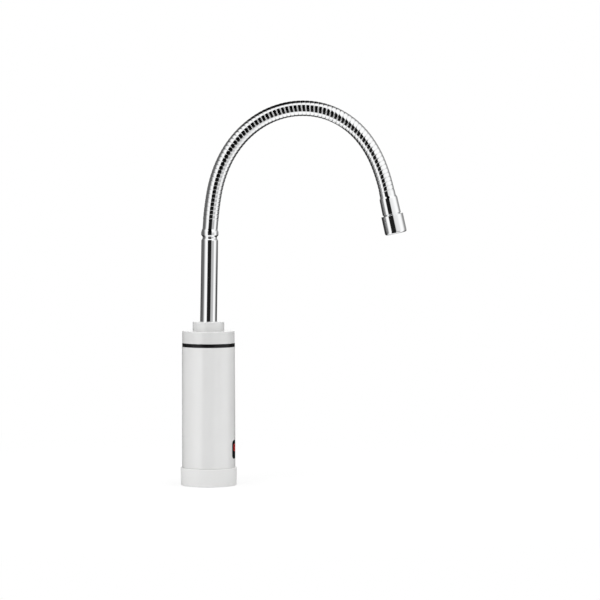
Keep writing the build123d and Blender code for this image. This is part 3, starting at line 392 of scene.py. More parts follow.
def remapped(tree, value, low, high, to_low=0.0, to_high=1.0, kind="SMOOTHSTEP"):
    """A value carried from one span to another, as a smooth step unless the kind is linear."""
    spans = {"From Min": low, "From Max": high, "To Min": to_low, "To Max": to_high}
    node = add_node(tree, "MapRange", {"Value": value, **spans}, interpolation_type=kind)
    return node.outputs["Result"]


def make_group(name, inputs, output):
    """An empty node group, its input sockets, which are given by their values, and its output socket."""
    group = bpy.data.node_groups.new(name, "ShaderNodeTree")
    for label, value in inputs.items():
        kind = "NodeSocketFloat" if isinstance(value, float) else "NodeSocketVector"
        group.interface.new_socket(label, in_out="INPUT", socket_type=kind).default_value = value
    group.interface.new_socket(output, in_out="OUTPUT", socket_type="NodeSocketFloat")
    given = group.nodes.new("NodeGroupInput").outputs
    return group, given, group.nodes.new("NodeGroupOutput").inputs[output]


def noise_group(name, detail, low, high, kind):
    """Noise of a scale and a stretch. Its values from low to high are mapped onto the span asked for."""
    asked = {"Vector": (0, 0, 0), "Stretch": (1, 1, 1), "Scale": 100.0, "Low": 0.0, "High": 1.0}
    group, given, result = make_group(name, asked, "Value")
    squeezed = vector_maths(group, "MULTIPLY", given["Vector"], given["Stretch"])
    noise = add_node(group, "TexNoise", {"Vector": squeezed, "Scale": given["Scale"], "Detail": detail})
    value = remapped(group, noise.outputs["Fac"], low, high, given["Low"], given["High"], kind)
    group.links.new(value, result)
    return group


def dust_group():
    """Settled dust: a mask that is strongest where a surface faces up, broken up by fine noise."""
    asked = {"Vector": (0, 0, 0), "Scale": 300.0, "Amount": 0.1}
    group, given, result = make_group("settled_dust", asked, "Mask")
    normal = add_node(group, "NewGeometry").outputs["Normal"]
    upward = remapped(group, add_node(group, "SeparateXYZ", {"Vector": normal}).outputs["Z"], 0.35, 1.0)
    texture = {"Vector": given["Vector"], "Scale": given["Scale"], "Detail": 6.0}
    noise = add_node(group, "TexNoise", texture).outputs["Fac"]
    speckle = maths(group, "MULTIPLY", noise, upward)
    group.links.new(maths(group, "MULTIPLY", speckle, given["Amount"]), result)
    return group


# Soft blotches, the fine parallel marks of a drawn or turned surface, and settled dust
cloudy = noise_group("cloudy", 4.0, 0.3, 0.7, "SMOOTHSTEP")
drawn = noise_group("drawn", 3.0, 0.25, 0.75, "LINEAR")
settled_dust = dust_group()
dust_colour = (0.42, 0.41, 0.39)


def emptied_tree(owner):
    """The node tree of a material or a world, switched on and emptied."""
    owner.use_nodes = True
    owner.node_tree.nodes.clear()
    return owner.node_tree


def new_finish(name, looks, *values):
    """A material whose Principled shader has the looks that a function gives for some values."""
    material = bpy.data.materials.new(name)
    tree = emptied_tree(material)
    places = add_node(tree, "TexCoord").outputs["Object"]
    surface = add_node(tree, "BsdfPrincipled", looks(tree, places, *values))
    add_node(tree, "OutputMaterial", {"Surface": surface.outputs["BSDF"]})
    return material


def varied(tree, group, places, scale, low=0.0, high=1.0, stretch=(1, 1, 1)):
    """Value between low and high from a noise group."""
    inputs = {"Vector": places, "Stretch": stretch, "Scale": scale, "Low": low, "High": high}
    return add_node(tree, "Group", inputs, node_tree=group).outputs["Value"]


def tinted(tree, share, first, second):
    """Colour that goes from the first to the second as the share goes from 0 to 1."""
    ends = [end if isinstance(end, bpy.types.NodeSocket) else (*end, 1.0) for end in (first, second)]
    return add_node(tree, "Mix", {0: share, 6: ends[0], 7: ends[1]}, data_type="RGBA").outputs[2]


def relief(tree, height, strength, distance):
    """Normal of a fine relief."""
    inputs = {"Height": height, "Strength": strength, "Distance": distance}
    return add_node(tree, "Bump", inputs).outputs["Normal"]


# Finishes, one or more per material slot of the record

def moulded(tree, places, colour, second_colour, rough, skin, specular=0.5, dust=0.0):
    """Moulded plastic: slow changes of tone, an almost even gloss and a very fine skin."""
    tone = tinted(tree, varied(tree, cloudy, places, 45.0), colour, second_colour)
    if dust:
        amount = {"Vector": places, "Scale": 900.0, "Amount": dust}
        mask = add_node(tree, "Group", amount, node_tree=settled_dust).outputs["Mask"]
        tone = tinted(tree, mask, tone, dust_colour)
    fine = varied(tree, cloudy, places, 1400.0)
    return {
        "Base Color": tone,
        "Roughness": varied(tree, cloudy, places, 120.0, *rough),
        "Specular IOR Level": specular,
        "Normal": relief(tree, fine, skin, 0.00005),
    }


def polished(tree, places, colour, second_colour, rough, marks, stretch):
    """Plated or bare metal: fine drawn marks in its gloss and slow changes of tone."""
    tone = varied(tree, cloudy, places, 70.0)
    fine = varied(tree, drawn, places, 1500.0, stretch=stretch)
    return {
        "Base Color": tinted(tree, tone, colour, second_colour),
        "Metallic": 1.0,
        "Roughness": varied(tree, drawn, places, 900.0, *rough, stretch),
        "Normal": relief(tree, fine, marks, 0.00003),
    }


def ribbed_chrome(tree, places):
    """Chromed hose: bright crests, and grooves that are duller by the groove attribute, their colour
    painted darker by it as painted shade.
    """
    groove = add_node(tree, "Attribute", attribute_name="groove").outputs["Fac"]
    gloss = varied(tree, cloudy, places, 260.0, 0.02, 0.045)
    fine = varied(tree, cloudy, places, 900.0)
    return {
        # Painted shade: the colour darkens from crest to groove bottom by the depth of groove.
        "Base Color": tinted(tree, groove, (0.95, 0.955, 0.96), (0.78, 0.785, 0.790)),
        "Metallic": 1.0,
        "Roughness": maths(tree, "MULTIPLY_ADD", groove, 0.05, gloss),
        "Normal": relief(tree, fine, 0.03, 0.00004),
    }


def lit_red(tree, places):
    """Lit segments: a red glow that is a little uneven along each bar."""
    glow = varied(tree, cloudy, places, 500.0)
    red = tinted(tree, glow, (0.42, 0.012, 0.01), (0.52, 0.02, 0.016))
    return {"Base Color": red, "Emission Color": red, "Emission Strength": 0.6, "Roughness": 0.4}


def board_green(tree, places):
    """Circuit board: green lacquer with paler copper tracks under it, as lines of a brick pattern."""
    turned = add_node(tree, "Mapping", {"Vector": places, "Rotation": (0.0, radians(90), 0.0)})
    pattern = {
        "Vector": turned.outputs["Vector"],
        "Color1": (0.012, 0.09, 0.03, 1.0),
        "Color2": (0.02, 0.13, 0.045, 1.0),
        "Mortar": (0.05, 0.24, 0.09, 1.0),
        "Scale": 260.0,
        "Mortar Size": 0.03,
    }
    tracks = add_node(tree, "TexBrick", pattern).outputs
    return {
        "Base Color": tracks["Color"],
        "Roughness": varied(tree, cloudy, places, 200.0, 0.25, 0.4),
        "Normal": relief(tree, tracks["Fac"], 0.1, 0.00003),
    }


# First and second colour, lowest and highest roughness, depth of skin, specular level, and dust
moulded_looks = {
    "white_plastic": ((0.742, 0.742, 0.738), (0.748, 0.748, 0.744), (0.09, 0.12), 0.004, 0.8),
    # The cap's copy of the white plastic is a little darker: painted shade.
    "shaded_cap_plastic": ((0.702, 0.702, 0.698), (0.708, 0.708, 0.704), (0.09, 0.12), 0.004, 0.8),
    "foot_plastic": ((0.745, 0.745, 0.74), (0.751, 0.751, 0.746), (0.4, 0.48), 0.01, 0.12),
    "black_plastic": ((0.006, 0.006, 0.006), (0.01, 0.01, 0.011), (0.22, 0.3), 0.05, 0.2, 0.02),
    "display_black": ((0.004, 0.004, 0.005), (0.006, 0.006, 0.007), (0.04, 0.07), 0.0, 0.25),
    "rubber": ((0.02, 0.02, 0.02), (0.03, 0.03, 0.03), (0.6, 0.75), 0.4, 0.3, 0.1),
    "ceramic": ((0.80, 0.79, 0.75), (0.84, 0.83, 0.79), (0.3, 0.4), 0.1),
    "inner_plastic": ((0.62, 0.62, 0.60), (0.66, 0.66, 0.64), (0.4, 0.5), 0.15),
}
# First and second colour, lowest and highest roughness, depth of marks, and their stretch
polished_looks = {
    "chrome_tube": ((0.95, 0.955, 0.96), (0.93, 0.935, 0.94), (0.03, 0.06), 0.02, (1, 1, 0.03)),
    "brass": ((0.78, 0.57, 0.25), (0.70, 0.50, 0.21), (0.18, 0.32), 0.15, (0.1, 0.1, 1)),
    "steel": ((0.62, 0.62, 0.63), (0.56, 0.56, 0.57), (0.22, 0.36), 0.15, (1, 1, 0.05)),
}
finishes = {name: new_finish(name, moulded, *look) for name, look in moulded_looks.items()}
finishes |= {name: new_finish(name, polished, *look) for name, look in polished_looks.items()}
finishes["chrome_hose"] = new_finish("chrome_hose", ribbed_chrome)
finishes["display_red"] = new_finish("display_red", lit_red)
finishes["board_green"] = new_finish("board_green", board_green)


# Turned pieces, and the body, line and number of sides of each place

column_sides = 192
on_column = "root", column_line, column_sides
on_lever = "handle", lever_line, 72
on_spout = "spout", spout_line, 144
on_nozzle = "nozzle", lambda distance: spout_line(nozzle_start + distance), 144
cap_inner_r = cap_bottom_r - cap_wall
tube_inner_r, lip_r = tube_r - tube_wall, groove_r - tube_wall
badge_back_y, badge_front_y = lever_front_y - badge_depth, lever_front_y + badge_proud


def add_turned(name, slot, node, place, corners, finish=None, closing=None):
    """A turned piece that stands for one node. Its outline is eased where it has closing corners."""
    body, line, sides = place
    profile = eased_profile(corners, closing) if closing else rounded_profile(corners)
    piece = add_piece(name, [turned_patch(profile, line, sides)], slot, finish)
    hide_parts(node)
    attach(piece, body)


# Foot ring: a slightly flared outer wall, a rounded top edge and the web inside it
add_turned("foot_moulding", "white_plastic", "foot_ring", on_column, [
    (gasket_r, 0),
    (foot_bottom_r, 0, 0.4),
    (foot_top_r, foot_top_z, 0.7),
    (spigot_r, foot_top_z),
    (spigot_r, foot_spigot_z, 0.2),
    (spigot_inner_r, foot_spigot_z, 0.2),
    (spigot_inner_r, web_top_z),
    (web_hole_r, web_top_z),
    (web_hole_r, web_bottom_z),
    (foot_inner_r, web_bottom_z),
    (foot_inner_r, gasket_height),
    (gasket_r, gasket_height),
], "foot_plastic")
# Black band between the shell and the cap, with its two spigots and bulkhead
add_turned("trim_band", "black_plastic", "trim_ring", on_column, [
    (bearing_hole_r, shell_top_z),
    (spigot_inner_r, shell_top_z),
    (spigot_inner_r, shell_top_z - trim_spigot_down, 0.2),
    (spigot_r, shell_top_z - trim_spigot_down, 0.2),
    (spigot_r, shell_top_z, 0.05),
    (trim_r, shell_top_z, 0.12),
    (trim_r, cap_bottom_z, 0.12),
    (trim_upper_r, cap_bottom_z, 0.05),
    (trim_upper_r, cap_bottom_z + trim_spigot_up, 0.2),
    (spigot_inner_r, cap_bottom_z + trim_spigot_up, 0.2),
    (spigot_inner_r, cap_bottom_z),
    (bearing_hole_r, cap_bottom_z),
])
# Cap: a short drum, drawn in a little towards its rounded top edge. Its finish is the white plastic
# painted a little darker, as painted shade.
add_turned("cap_moulding", "white_plastic", "top_cap", on_column, [
    (cap_inner_r, cap_bottom_z),
    (cap_bottom_r, cap_bottom_z, 0.5),
    (cap_top_r, cap_top_z, 0.7),
    (bearing_hole_r, cap_top_z, 0.2),
    (bearing_hole_r, cap_top_z - cap_roof),
    (cap_inner_r, cap_top_z - cap_roof),
], "shaded_cap_plastic")
# Collar that the spout tube comes out of
add_turned("collar_moulding", "white_plastic", "spout_collar", on_column, [
    (bush_r, cap_top_z),
    (collar_r, cap_top_z, 0.15),
    (collar_r, collar_top_z, 0.5),
    (collar_bore_r, collar_top_z, 0.3),
    (collar_bore_r, bush_top_z),
    (bush_r, bush_top_z),
])
# Round cover over the lever's screw
add_turned("lever_badge", "white_plastic", "handle_cap", on_lever, [
    (0, badge_back_y, 0),
    (badge_r, badge_back_y),
    (badge_r, badge_front_y, 0.3),
    (0, badge_front_y, 0),
])
# Spout tube: an even tube whose top end is rolled in to the groove
add_turned("tube_chromed", "chrome_tube", "spout_tube", on_spout, [
    (-tube_buried, tube_r),
    (tube_end - 3.4, tube_r),
    (tube_end - 0.5, groove_r),
    (tube_end, groove_r),
], closing=[(lip_r, tube_end), (tube_inner_r, tube_end - 3), (tube_inner_r, -tube_buried)])
# Crimped sleeve: it swells from the groove to a bead, draws in to a plain sleeve and ends at the ribs
add_turned("sleeve_crimped", "chrome_tube", "hose_sleeve", on_spout, [
    (tube_end, groove_r),
    (tube_end + 0.5, groove_r),
    (tube_end + 3.2, bead_r),
    (tube_end + 5.6, bead_r - 0.05),
    (tube_end + 10.0, sleeve_r),
    (neck_start - 0.6, sleeve_r),
    (neck_start, sleeve_r - 0.35),
], closing=[(sleeve_bore_r, neck_start), (sleeve_bore_r, tube_end), (lip_r, tube_end)])
# Crimped ferrule with its cone
add_turned("ferrule_cone", "chrome_tube", "nozzle_ferrule", on_nozzle, [
    (hose_bore_r, -ferrule_lap),
    (ferrule_r - 0.4, -ferrule_lap, 0.15),
    (ferrule_r, 0.1, 0.2),
    (ferrule_r, ferrule_length, 1.5),
    (cone_start_r, cone_start, 2.5),
    (cone_end_r, cone_end, 0.5),
    (seam_r, cone_end + 0.9, 0.15),
    (seam_r, housing_start),
    (tail_r, housing_start),
    (tail_r, ferrule_end),
    (nozzle_bore_r, ferrule_end),
    (nozzle_bore_r, cone_start + 3.7),
    (hose_bore_r, cone_start - 0.3),
])
# Outlet housing, wider than the cone
add_turned("outlet_housing", "chrome_tube", "nozzle_housing", on_nozzle, [
    (tail_r, housing_start),
    (housing_top_r, housing_start, 0.6),
    (housing_mouth_r + 0.15, housing_end - 2.4, 4.0),
    (housing_mouth_r - 0.2, housing_end, 1.6),
    (aerator_r, housing_end, 0.3),
    (aerator_r, washer_seat),
    (nozzle_bore_r, washer_seat),
    (nozzle_bore_r, housing_ledge),
    (tail_r, housing_ledge),
])


# Shell with its two openings, worked out on the unrolled wall: angle round the body, and height

patch_columns = 32
window_rows = (27, 55)
lever_rows = (48, 76)
column_step = 2 * pi / column_sides


def wall_points(radius, turn, height):
    """Points of a round wall from their angle from +X and their height."""
    radius, turn, height = np.broadcast_arrays(radius, turn, height)
    return np.stack([radius * np.cos(turn), radius * np.sin(turn), height], axis=-1)


def opening_patches(middle_column, rows, sizes, mid_z, layers):
    """Wall round an opening: from its rectangle of cells to its rounded outline on the outer wall, in
    through the layers of (growth of the outline, radius, share of the normal that faces out), and back
    to the rectangle on the inner wall."""
    counts = (patch_columns, rows[1] - rows[0]) * 2
    outline, outward = rounded_outline(*sizes, counts)
    middle = middle_column * column_step
    into = -outward[:, :1] * wall_points(1, middle + pi / 2, 0)
    into[:, 2] = -outward[:, 1]
    rings = []
    for growth, radius, outness in layers:
        grown = outline + growth * outward
        turn = middle + np.arcsin(grown[:, 0] / radius)
        facing = unit(outness * wall_points(1, turn, 0) + (1 - outness) * into)
        rings.append((wall_points(radius, turn, mid_z + grown[:, 1]), facing))
    steps = np.repeat([(column_step, 0), (0, 1), (-column_step, 0), (0, -1)], counts, axis=0)
    low_corner = middle - patch_columns / 2 * column_step, rows[0]
    turn, height = (np.cumsum(steps, axis=0) - steps + low_corner).T
    patches = [ring_patch(rings)]
    for radius, side, edge in ((body_r, 1, rings[0][0]), (shell_inner_r, -1, rings[-1][0])):
        edge_turn = np.arctan2(edge[:, 1], edge[:, 0])
        share = np.linspace(0, 1, 5)[:, None]
        turns = turn + (np.unwrap(np.stack([turn, edge_turn]), axis=0)[1] - turn) * share
        grid = wall_points(radius, turns, height + (edge[:, 2] - height) * share)
        grid[0], grid[-1] = wall_points(radius, turn, height), edge
        patches.append(grid_patch(grid, side * wall_points(1, turns, 0), False, True))
    return patches


def add_shell():
    """Shell: outer and inner walls less the cells of two openings, rounded rims that join them at the
    top and bottom, and the patches round the openings."""
    rim_r, edge_r = 0.5, 0.3
    swing = np.radians(np.linspace(0, 90, 5))
    seat_r = body_r - window_thickness
    layers = [*zip(edge_r * (1 - np.sin(swing)), body_r - edge_r * (1 - np.cos(swing)), np.cos(swing))]
    layers += [(0, seat_r, 0.0), (-window_lip, seat_r, 0.5), (-window_lip, shell_inner_r, 0.0)]
    sizes = [size + window_gap for size in (window_half_width, window_half_height, window_corner_r)]
    bored = [(0, body_r, 0.0), (0, shell_inner_r, 0.0)]
    openings = [
        (0, window_rows, sizes, window_mid_z, layers),
        (column_sides // 4, lever_rows, [shell_hole_r] * 3, hub_z, bored),
    ]
    upper_rows = np.linspace(80, shell_top_z - rim_r, 8)
    heights = np.concatenate([[foot_top_z + rim_r, 23], np.arange(26, 77), upper_rows])[:, None]
    turn = np.arange(column_sides) * column_step
    keep = np.ones((len(heights) - 1, column_sides), bool)
    for middle_column, rows, *_ in openings:
        columns = (middle_column + np.arange(-patch_columns // 2, patch_columns // 2)) % column_sides
        low, high = np.searchsorted(heights[:, 0], rows)
        keep[np.ix_(np.arange(low, high), columns)] = False
    patches = []
    for radius, side in ((body_r, 1), (shell_inner_r, -1)):
        facing = side * wall_points(1, turn, 0 * heights)
        patches.append(grid_patch(wall_points(radius, turn, heights), facing, False, True, keep))
    swing = np.radians(np.linspace(0, 90, 7))
    inset = rim_r * (1 - np.cos(swing))
    for rim_z, upward in ((shell_top_z, 1), (foot_top_z, -1)):
        drop = rim_z - upward * rim_r * (1 - np.sin(swing))
        outer = np.stack([body_r - inset, drop], axis=1)
        inner = np.stack([shell_inner_r + inset, drop], axis=1)
        facing = ways(swing) * (1, upward)
        mirrored = facing[::-1] * (-1, 1)
        profile = np.concatenate([outer, inner[::-1]]), np.concatenate([facing, mirrored])
        patches.append(turned_patch(profile, column_line, column_sides, rows_closed=False))
    for opening in openings:
        patches += opening_patches(*opening)
    shell = add_piece("shell_moulding", patches, "white_plastic")
    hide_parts("body_shell")
    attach(shell, "root")


# Display

def wrapped_ring(flat, radius, outness, aside):
    """A flat ring wrapped on a round wall on the +X side. Its normals add the wall's own, by their
    share, to others that lie flat."""
    across, height = flat.T
    place = np.stack([np.sqrt(radius**2 - across**2), across, height], axis=1)
    return place, unit(outness * place * (1, 1, 0) / radius + np.insert(aside, 0, 0, axis=1))


def add_window():
    """Window pane: rings of its outline from the middle of its curved face out to the rounded edge, down
    the edge and back to the middle behind."""
    edge_r = 0.35
    back_r = body_r - window_thickness
    counts = (26, 22) * 2
    outline, facing = rounded_outline(window_half_width, window_half_height, window_corner_r, counts)
    steps = [(edge_r, share, body_r, 1.0) for share in np.linspace(0, 1, 9)[:-1]]
    for angle in np.radians(np.linspace(0, 90, 6)):
        steps.append((edge_r * (1 - sin(angle)), 1.0, body_r - edge_r * (1 - cos(angle)), cos(angle)))
    steps.append((0, 1.0, back_r + 0.1, 0.0))
    steps += [(0, share, back_r, -1.0) for share in np.linspace(1, 0, 6)]
    rings = []
    for inset, share, radius, outness in steps:
        flat = (outline - inset * facing) * share + (0, window_mid_z)
        rings.append(wrapped_ring(flat, radius, outness, sqrt(1 - outness**2) * facing))
    pane = add_piece("window_pane", [ring_patch(rings)], "display_black")
    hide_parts("display_window")
    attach(pane, "root")


def bar_patch(start, end):
    """One lit bar of a digit: a flat six-sided prism with pointed ends, wrapped on the window's face."""
    along = unit(end - start)
    side = bar_half_width * np.array([-along[1], along[0]])
    first, last = start + bar_half_width * along, end - bar_half_width * along
    shape = np.stack([start, first + side, last + side, end, last - side, first - side])
    middle = shape.mean(axis=0)
    away = unit(shape - middle)
    rings = []
    steps = [(0.0, lit_face_r), (0.94, lit_face_r), (1.0, lit_face_r - lit_edge)]
    for share, radius in steps + [(1.0, lit_buried_r), (0.0, lit_buried_r)]:
        flat = middle + (shape - middle) * share
        rings.append(wrapped_ring(flat, radius, np.sign(radius - body_r), 0.3 * share * away))
    return ring_patch(rings)


def degree_patch(middle):
    """Lit degree ring: a flat band round its middle, wrapped on the window's face."""
    way = ways(np.linspace(0, 2 * pi, 32, endpoint=False))
    rings = []
    for side, radius in ((1, lit_buried_r), (1, lit_face_r), (-1, lit_face_r), (-1, lit_buried_r)):
        flat = middle + (degree_r + side * degree_half_width) * way
        rings.append(wrapped_ring(flat, radius, np.sign(radius - body_r), side * way))
    return ring_patch(rings, True)


def add_digits():
    """Two lit seven-bar digits and a degree ring, just proud of the window."""
    left, right, top = bar_half_width, digit_width - bar_half_width, digit_height / 2 - bar_half_width
    bars = {
        "a": (left, top, right, top),
        "b": (right, top, right, 0),
        "c": (right, 0, right, -top),
        "d": (left, -top, right, -top),
        "e": (left, 0, left, -top),
        "f": (left, top, left, 0),
        "g": (left, 0, right, 0),
    }
    patches = []
    for digit_start, letters in zip(digit_starts, digit_text):
        for letter in letters:
            start, end = np.reshape(bars[letter], (2, 2)) + (digit_start, digit_mid_z)
            inset = bar_gap * unit(end - start)
            patches.append(bar_patch(start + inset, end - inset))
    patches.append(degree_patch(np.array(degree_place) + (0, digit_mid_z)))
    digits = add_piece("display_digits", patches, "display_red")
    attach(digits, "root")


# Lever side

def lever_outline():
    """Half outline of the lever, and its outward normals: the hub's arc, the inward fillet that touches
    hub and arm, the tapering side, and the tip's arc."""
    taper = atan2(arm_root_half_width - arm_tip_r, lever_tip_z - arm_tip_r - hub_z)
    side, down = ways(taper), np.array([sin(taper), -cos(taper)])
    hub, tip = np.array([0, hub_z]), np.array([0, lever_tip_z - arm_tip_r])
    start = tip + arm_tip_r * side
    reach = start + arm_fillet_r * side - hub
    lift = reach @ down
    slide = -lift - sqrt(lift**2 - reach @ reach + (hub_r + arm_fillet_r) ** 2)
    fillet = start + arm_fillet_r * side + slide * down
    leave = atan2(*(fillet - hub)[::-1])
    hub_way = ways(np.linspace(-pi / 2, leave, 36))
    fillet_way = ways(np.linspace(leave + pi, pi + taper, 14)[1:])
    tip_way = ways(np.linspace(taper, pi / 2, 14))
    low = fillet + arm_fillet_r * fillet_way[-1]
    line = low + (start - low) * np.linspace(0, 1, 22)[1:-1, None]
    points = [hub + hub_r * hub_way, fillet + arm_fillet_r * fillet_way, line, tip + arm_tip_r * tip_way]
    return np.concatenate(points), np.concatenate([hub_way, -fillet_way, side + 0 * line, tip_way])


def add_lever():
    """Lever: its outline in rings, from the front's middle line out to the rounded edge, down the side
    and in to the back's middle line. The back steps from hub to arm along a smooth ramp."""
    outline, facing = (np.concatenate([half, half[-2:0:-1] * (-1, 1)]) for half in lever_outline())
    front_r, back_r, crown = 2.0, 1.0, 0.35
    rise = np.clip((outline[:, 1] - hub_z - ramp_start) / ramp_length, 0, 1)
    back_y = lever_back_y + (arm_back_y - lever_back_y) * rise**2 * (3 - 2 * rise)
    front_edge_y = lever_front_y - crown
    high = front_edge_y - front_r
    swing = np.radians(np.linspace(0, 90, 7))
    steps = [(front_r, share, lever_front_y - crown * share**2) for share in np.linspace(0, 1, 8)[:-1]]
    steps += [(front_r * (1 - sin(turn)), 1, front_edge_y - front_r * (1 - cos(turn))) for turn in swing]
    steps += [(0, 1, high + (back_y + back_r - high) * share) for share in (0.25, 0.5, 0.75)]
    steps += [(back_r * (1 - sin(turn)), 1, back_y + back_r * (1 - cos(turn))) for turn in swing[::-1]]
    steps += [(back_r, share, back_y) for share in np.linspace(1, 0, 8)[1:]]
    flats = [(outline - inset * facing) * (share, 1) for inset, share, _ in steps]
    grid = np.stack([np.insert(flat, 1, step[2], axis=1) for flat, step in zip(flats, steps)])
    wrapped = np.concatenate([grid[:, -1:], grid, grid[:, :1]], axis=1)
    normals = grid_normals(wrapped)[:, 1:-1]
    lever = add_piece("lever_casting", [grid_patch(grid, normals, False, True)], "white_plastic")
    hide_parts("handle_lever")
    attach(lever, "handle")


def add_bonnet():
    """Bonnet: a turned cup whose back rim is moved along its axis onto the round body."""
    corners = [
        (bonnet_inner_r, bonnet_back_y),
        (hub_r, bonnet_back_y),
        (hub_r, bonnet_front_y, 1.2),
        (bonnet_bore_r, bonnet_front_y, 0.3),
        (bonnet_bore_r, bonnet_plate_y),
        (bonnet_inner_r, bonnet_plate_y),
    ]
    points, normals, faces = turned_patch(rounded_profile(corners), lever_line, 120)
    seat_y = np.sqrt((body_r + 0.05) ** 2 - points[:, 0] ** 2)
    still_y = bonnet_plate_y - 1
    share = np.clip((still_y - points[:, 1]) / (still_y - bonnet_back_y), 0, 1)
    points[:, 1] += (seat_y - bonnet_back_y) * share
    bonnet = add_piece("bonnet_cup", [(points, normals, faces)], "chrome_tube")
    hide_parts("handle_bonnet")
    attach(bonnet, "root")


# Ribbed neck over its hinges

def rib_height(phase):
    """Height of the ribs from 0 in the middle of a groove to 1 in the middle of a crest, and its change
    with the phase. The crown share of it falls with the square of the phase, and the rest falls along a
    wall, as three squares less two cubes of the way down."""
    phase = (phase + 0.5) % 1 - 0.5
    down = np.clip((np.abs(phase) - crest_half_share) / wall_share, 0, 1)
    height = 1 - crown_share * 4 * phase**2 - (1 - crown_share) * down**2 * (3 - 2 * down)
    steep = 8 * crown_share * np.abs(phase) + (1 - crown_share) * 6 * down * (1 - down) / wall_share
    return height, -steep * np.sign(phase)


def hose_patches(start, end):
    """One stretch of the ribbed neck. The ribs are one right-handed helix: a point's phase is its
    distance over the pitch plus its angle over a full turn. Rows of points follow the helix and are cut
    off square at both ends, and a plain bore closes it inside."""
    wall = crest_half_share + wall_share * np.linspace(0, 1, 9)
    half = np.concatenate([[0, 0.12, 0.24], wall, [(wall[-1] + 0.5) / 2, 0.5]])
    shares = np.concatenate([half[:-1], 1 - half[:0:-1]])
    turns = np.arange(np.floor(start / rib_pitch), np.ceil(end / rib_pitch) + 2)
    rows = (turns[:, None] + shares).reshape(-1, 1)
    angle = np.linspace(0, 2 * pi, 97)
    swing = angle[:, None]

    def surface(distance, radius):
        line = spout_line(neck_start + distance.ravel())
        centre, across, outward, along = (part.reshape(*distance.shape, 3) for part in line)
        ring = across * np.cos(swing) + outward * np.sin(swing)
        swept = outward * np.cos(swing) - across * np.sin(swing)
        return centre + ring * radius[..., None], ring, swept, along

    distance = np.clip(rib_pitch * (rows - angle / (2 * pi)), start, end)
    height, slope = rib_height(distance / rib_pitch + angle / (2 * pi))
    depth = rib_crest_r - rib_valley_r
    radius = rib_valley_r + depth * height
    steep = depth * slope / rib_pitch
    places, ring, swept, along = surface(distance, radius)
    run = spout_table[run_at(neck_start + distance)]
    stretch = 1 + np.radians(run[..., 3]) / run[..., 1] * radius * np.sin(angle)
    lean = steep * rib_pitch / (2 * pi) / radius
    normals = ring - along * (steep / stretch)[..., None] - swept * lean[..., None]
    inner_rows = np.concatenate([[end], np.linspace(end, start, 12), [start]])
    inner_distance = inner_rows[:, None] + 0 * angle
    inner_radius = np.full(inner_distance.shape, hose_bore_r)
    inner_radius[0], inner_radius[-1] = radius[-1], radius[0]
    inner_places, inner_ring, _, _ = surface(inner_distance, inner_radius)
    # Depth of groove at each point, which the hose's finish paints as shade; the bore inside counts as
    # full depth, so it is painted darkest.
    groove = np.append(1 - height, np.ones(inner_radius.size))
    return [grid_patch(places, unit(normals)), grid_patch(inner_places, -inner_ring)], groove


def add_hose():
    """Neck in eleven stretches, each drawn bent along the spout's line. Each crosses one hinge of the
    frame, the first ten stand in for their links, and the last rides on the nozzle. The first starts
    where the sleeve ends."""
    links = len(link_bends)
    cuts = [0.0] + [(number + 0.5) * link_length for number in range(links)] + [links * link_length]
    for number, (start, end) in enumerate(zip(cuts[:-1], cuts[1:])):
        patches, groove = hose_patches(start, end)
        stretch = add_piece(f"hose_part_{number + 1:02d}", patches, "chrome_hose", groove=groove)
        if number == links:
            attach(stretch, "nozzle")
            continue
        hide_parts(f"neck_link_{number + 1:02d}")
        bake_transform(stretch)


add_shell()
add_window()
add_digits()
add_bonnet()
add_lever()
add_hose()

# Frame nodes that stay: each takes the finish of its own slot
for subpart in frame["record"]["subparts"]:
    node = frame["nodes"][subpart["node"]]
    for place in node.material_slots:
        place.material = finishes[subpart["material_slot"]]


# Studio. Its places are metres

camera_place = (0.1032, -3.407, 0.361)
camera_tilt = -2.5525
focal_pixels, image_pixels = 3022.7, 600
sensor_width = 36
ambient_level = 0.4
white = (1, 1, 1, 1)

floor_r = 2.6
floor_grey = (0.86, 0.86, 0.86, 1)
shadow_share, shadow_fade = 0.25, (0.15, 0.7)

tent_r = 0.7
tent_middle = (0.1, 0.0, 0.25)
tent_columns, tent_rows = 48, 24
straight_behind = (158, 166)

# Parts of the tent: a level, and the cuts that bound it. A cut is a straight line on the unrolled tent:
# the heading it is square to, its reach from the middle and its softness, all in degrees
front_level = 1.04
front_cuts = [(180, 70, 16), (0, 98, 16), (105, 85, 7), (270, 110, 14), (-39, 95, 14), (45, 103, 12)]
front_parts = [
    (0.82, [(180, -12, 6), (0, 60, 8), (90, 16, 10), (270, 45, 12)]),
    (0.50, [(180, -5, 3), (0, 53, 6), (90, 4, 5), (270, 22, 12)]),
    (0.014, [(180, 33.5, 3), (0, 16.5, 3), (90, 60, 4), (270, 38, 7), (140, 50, 4)]),
    (0.003, [(180, 36, 3), (0, 16.8, 3), (90, 60, 4), (270, -6, 8), (140, 50, 4)]),
]
back_level = 0.14
back_parts = [
    (0.09, [(180, -60, 20)]),
    (0.03, [(90, -45, 25)]),
    (0.03, [(40, -100, 15)]),
    (0.30, [(180, -45, 15), (270, 0, 15)]),
    (0.008, [(0, 25, 12), (180, 66, 14), (270, -76, 6)]),
]

# Lamps: place, width and watts
lamp_aim = (0.06, 0, 0.2)
lamps = {
    "front_left_lamp": ((-1.5, -2.0, 1.5), 1.6, 19.5),
    "front_right_lamp": ((1.6, -1.8, 1.2), 1.6, 4.5),
    "left_fill_lamp": ((-1.9, 0.3, 0.3), 1.2, 5),
    "right_fill_lamp": ((2.0, 0.3, 0.3), 1.2, 8),
    "top_lamp": ((0.1, -0.2, 2.4), 1.4, 45),
}


def add_camera():
    """Camera at the photograph's place: it looks along +Y, tilted down a little."""
    data = bpy.data.cameras.new("view")
    data.sensor_width = sensor_width
    data.lens = sensor_width * focal_pixels / image_pixels
    data.clip_end = 100
    data.dof.use_dof = False
    camera = add_object("view", data)
    camera.location = camera_place
    camera.rotation_euler = (radians(90 + camera_tilt), 0, 0)
    bpy.context.scene.camera = camera


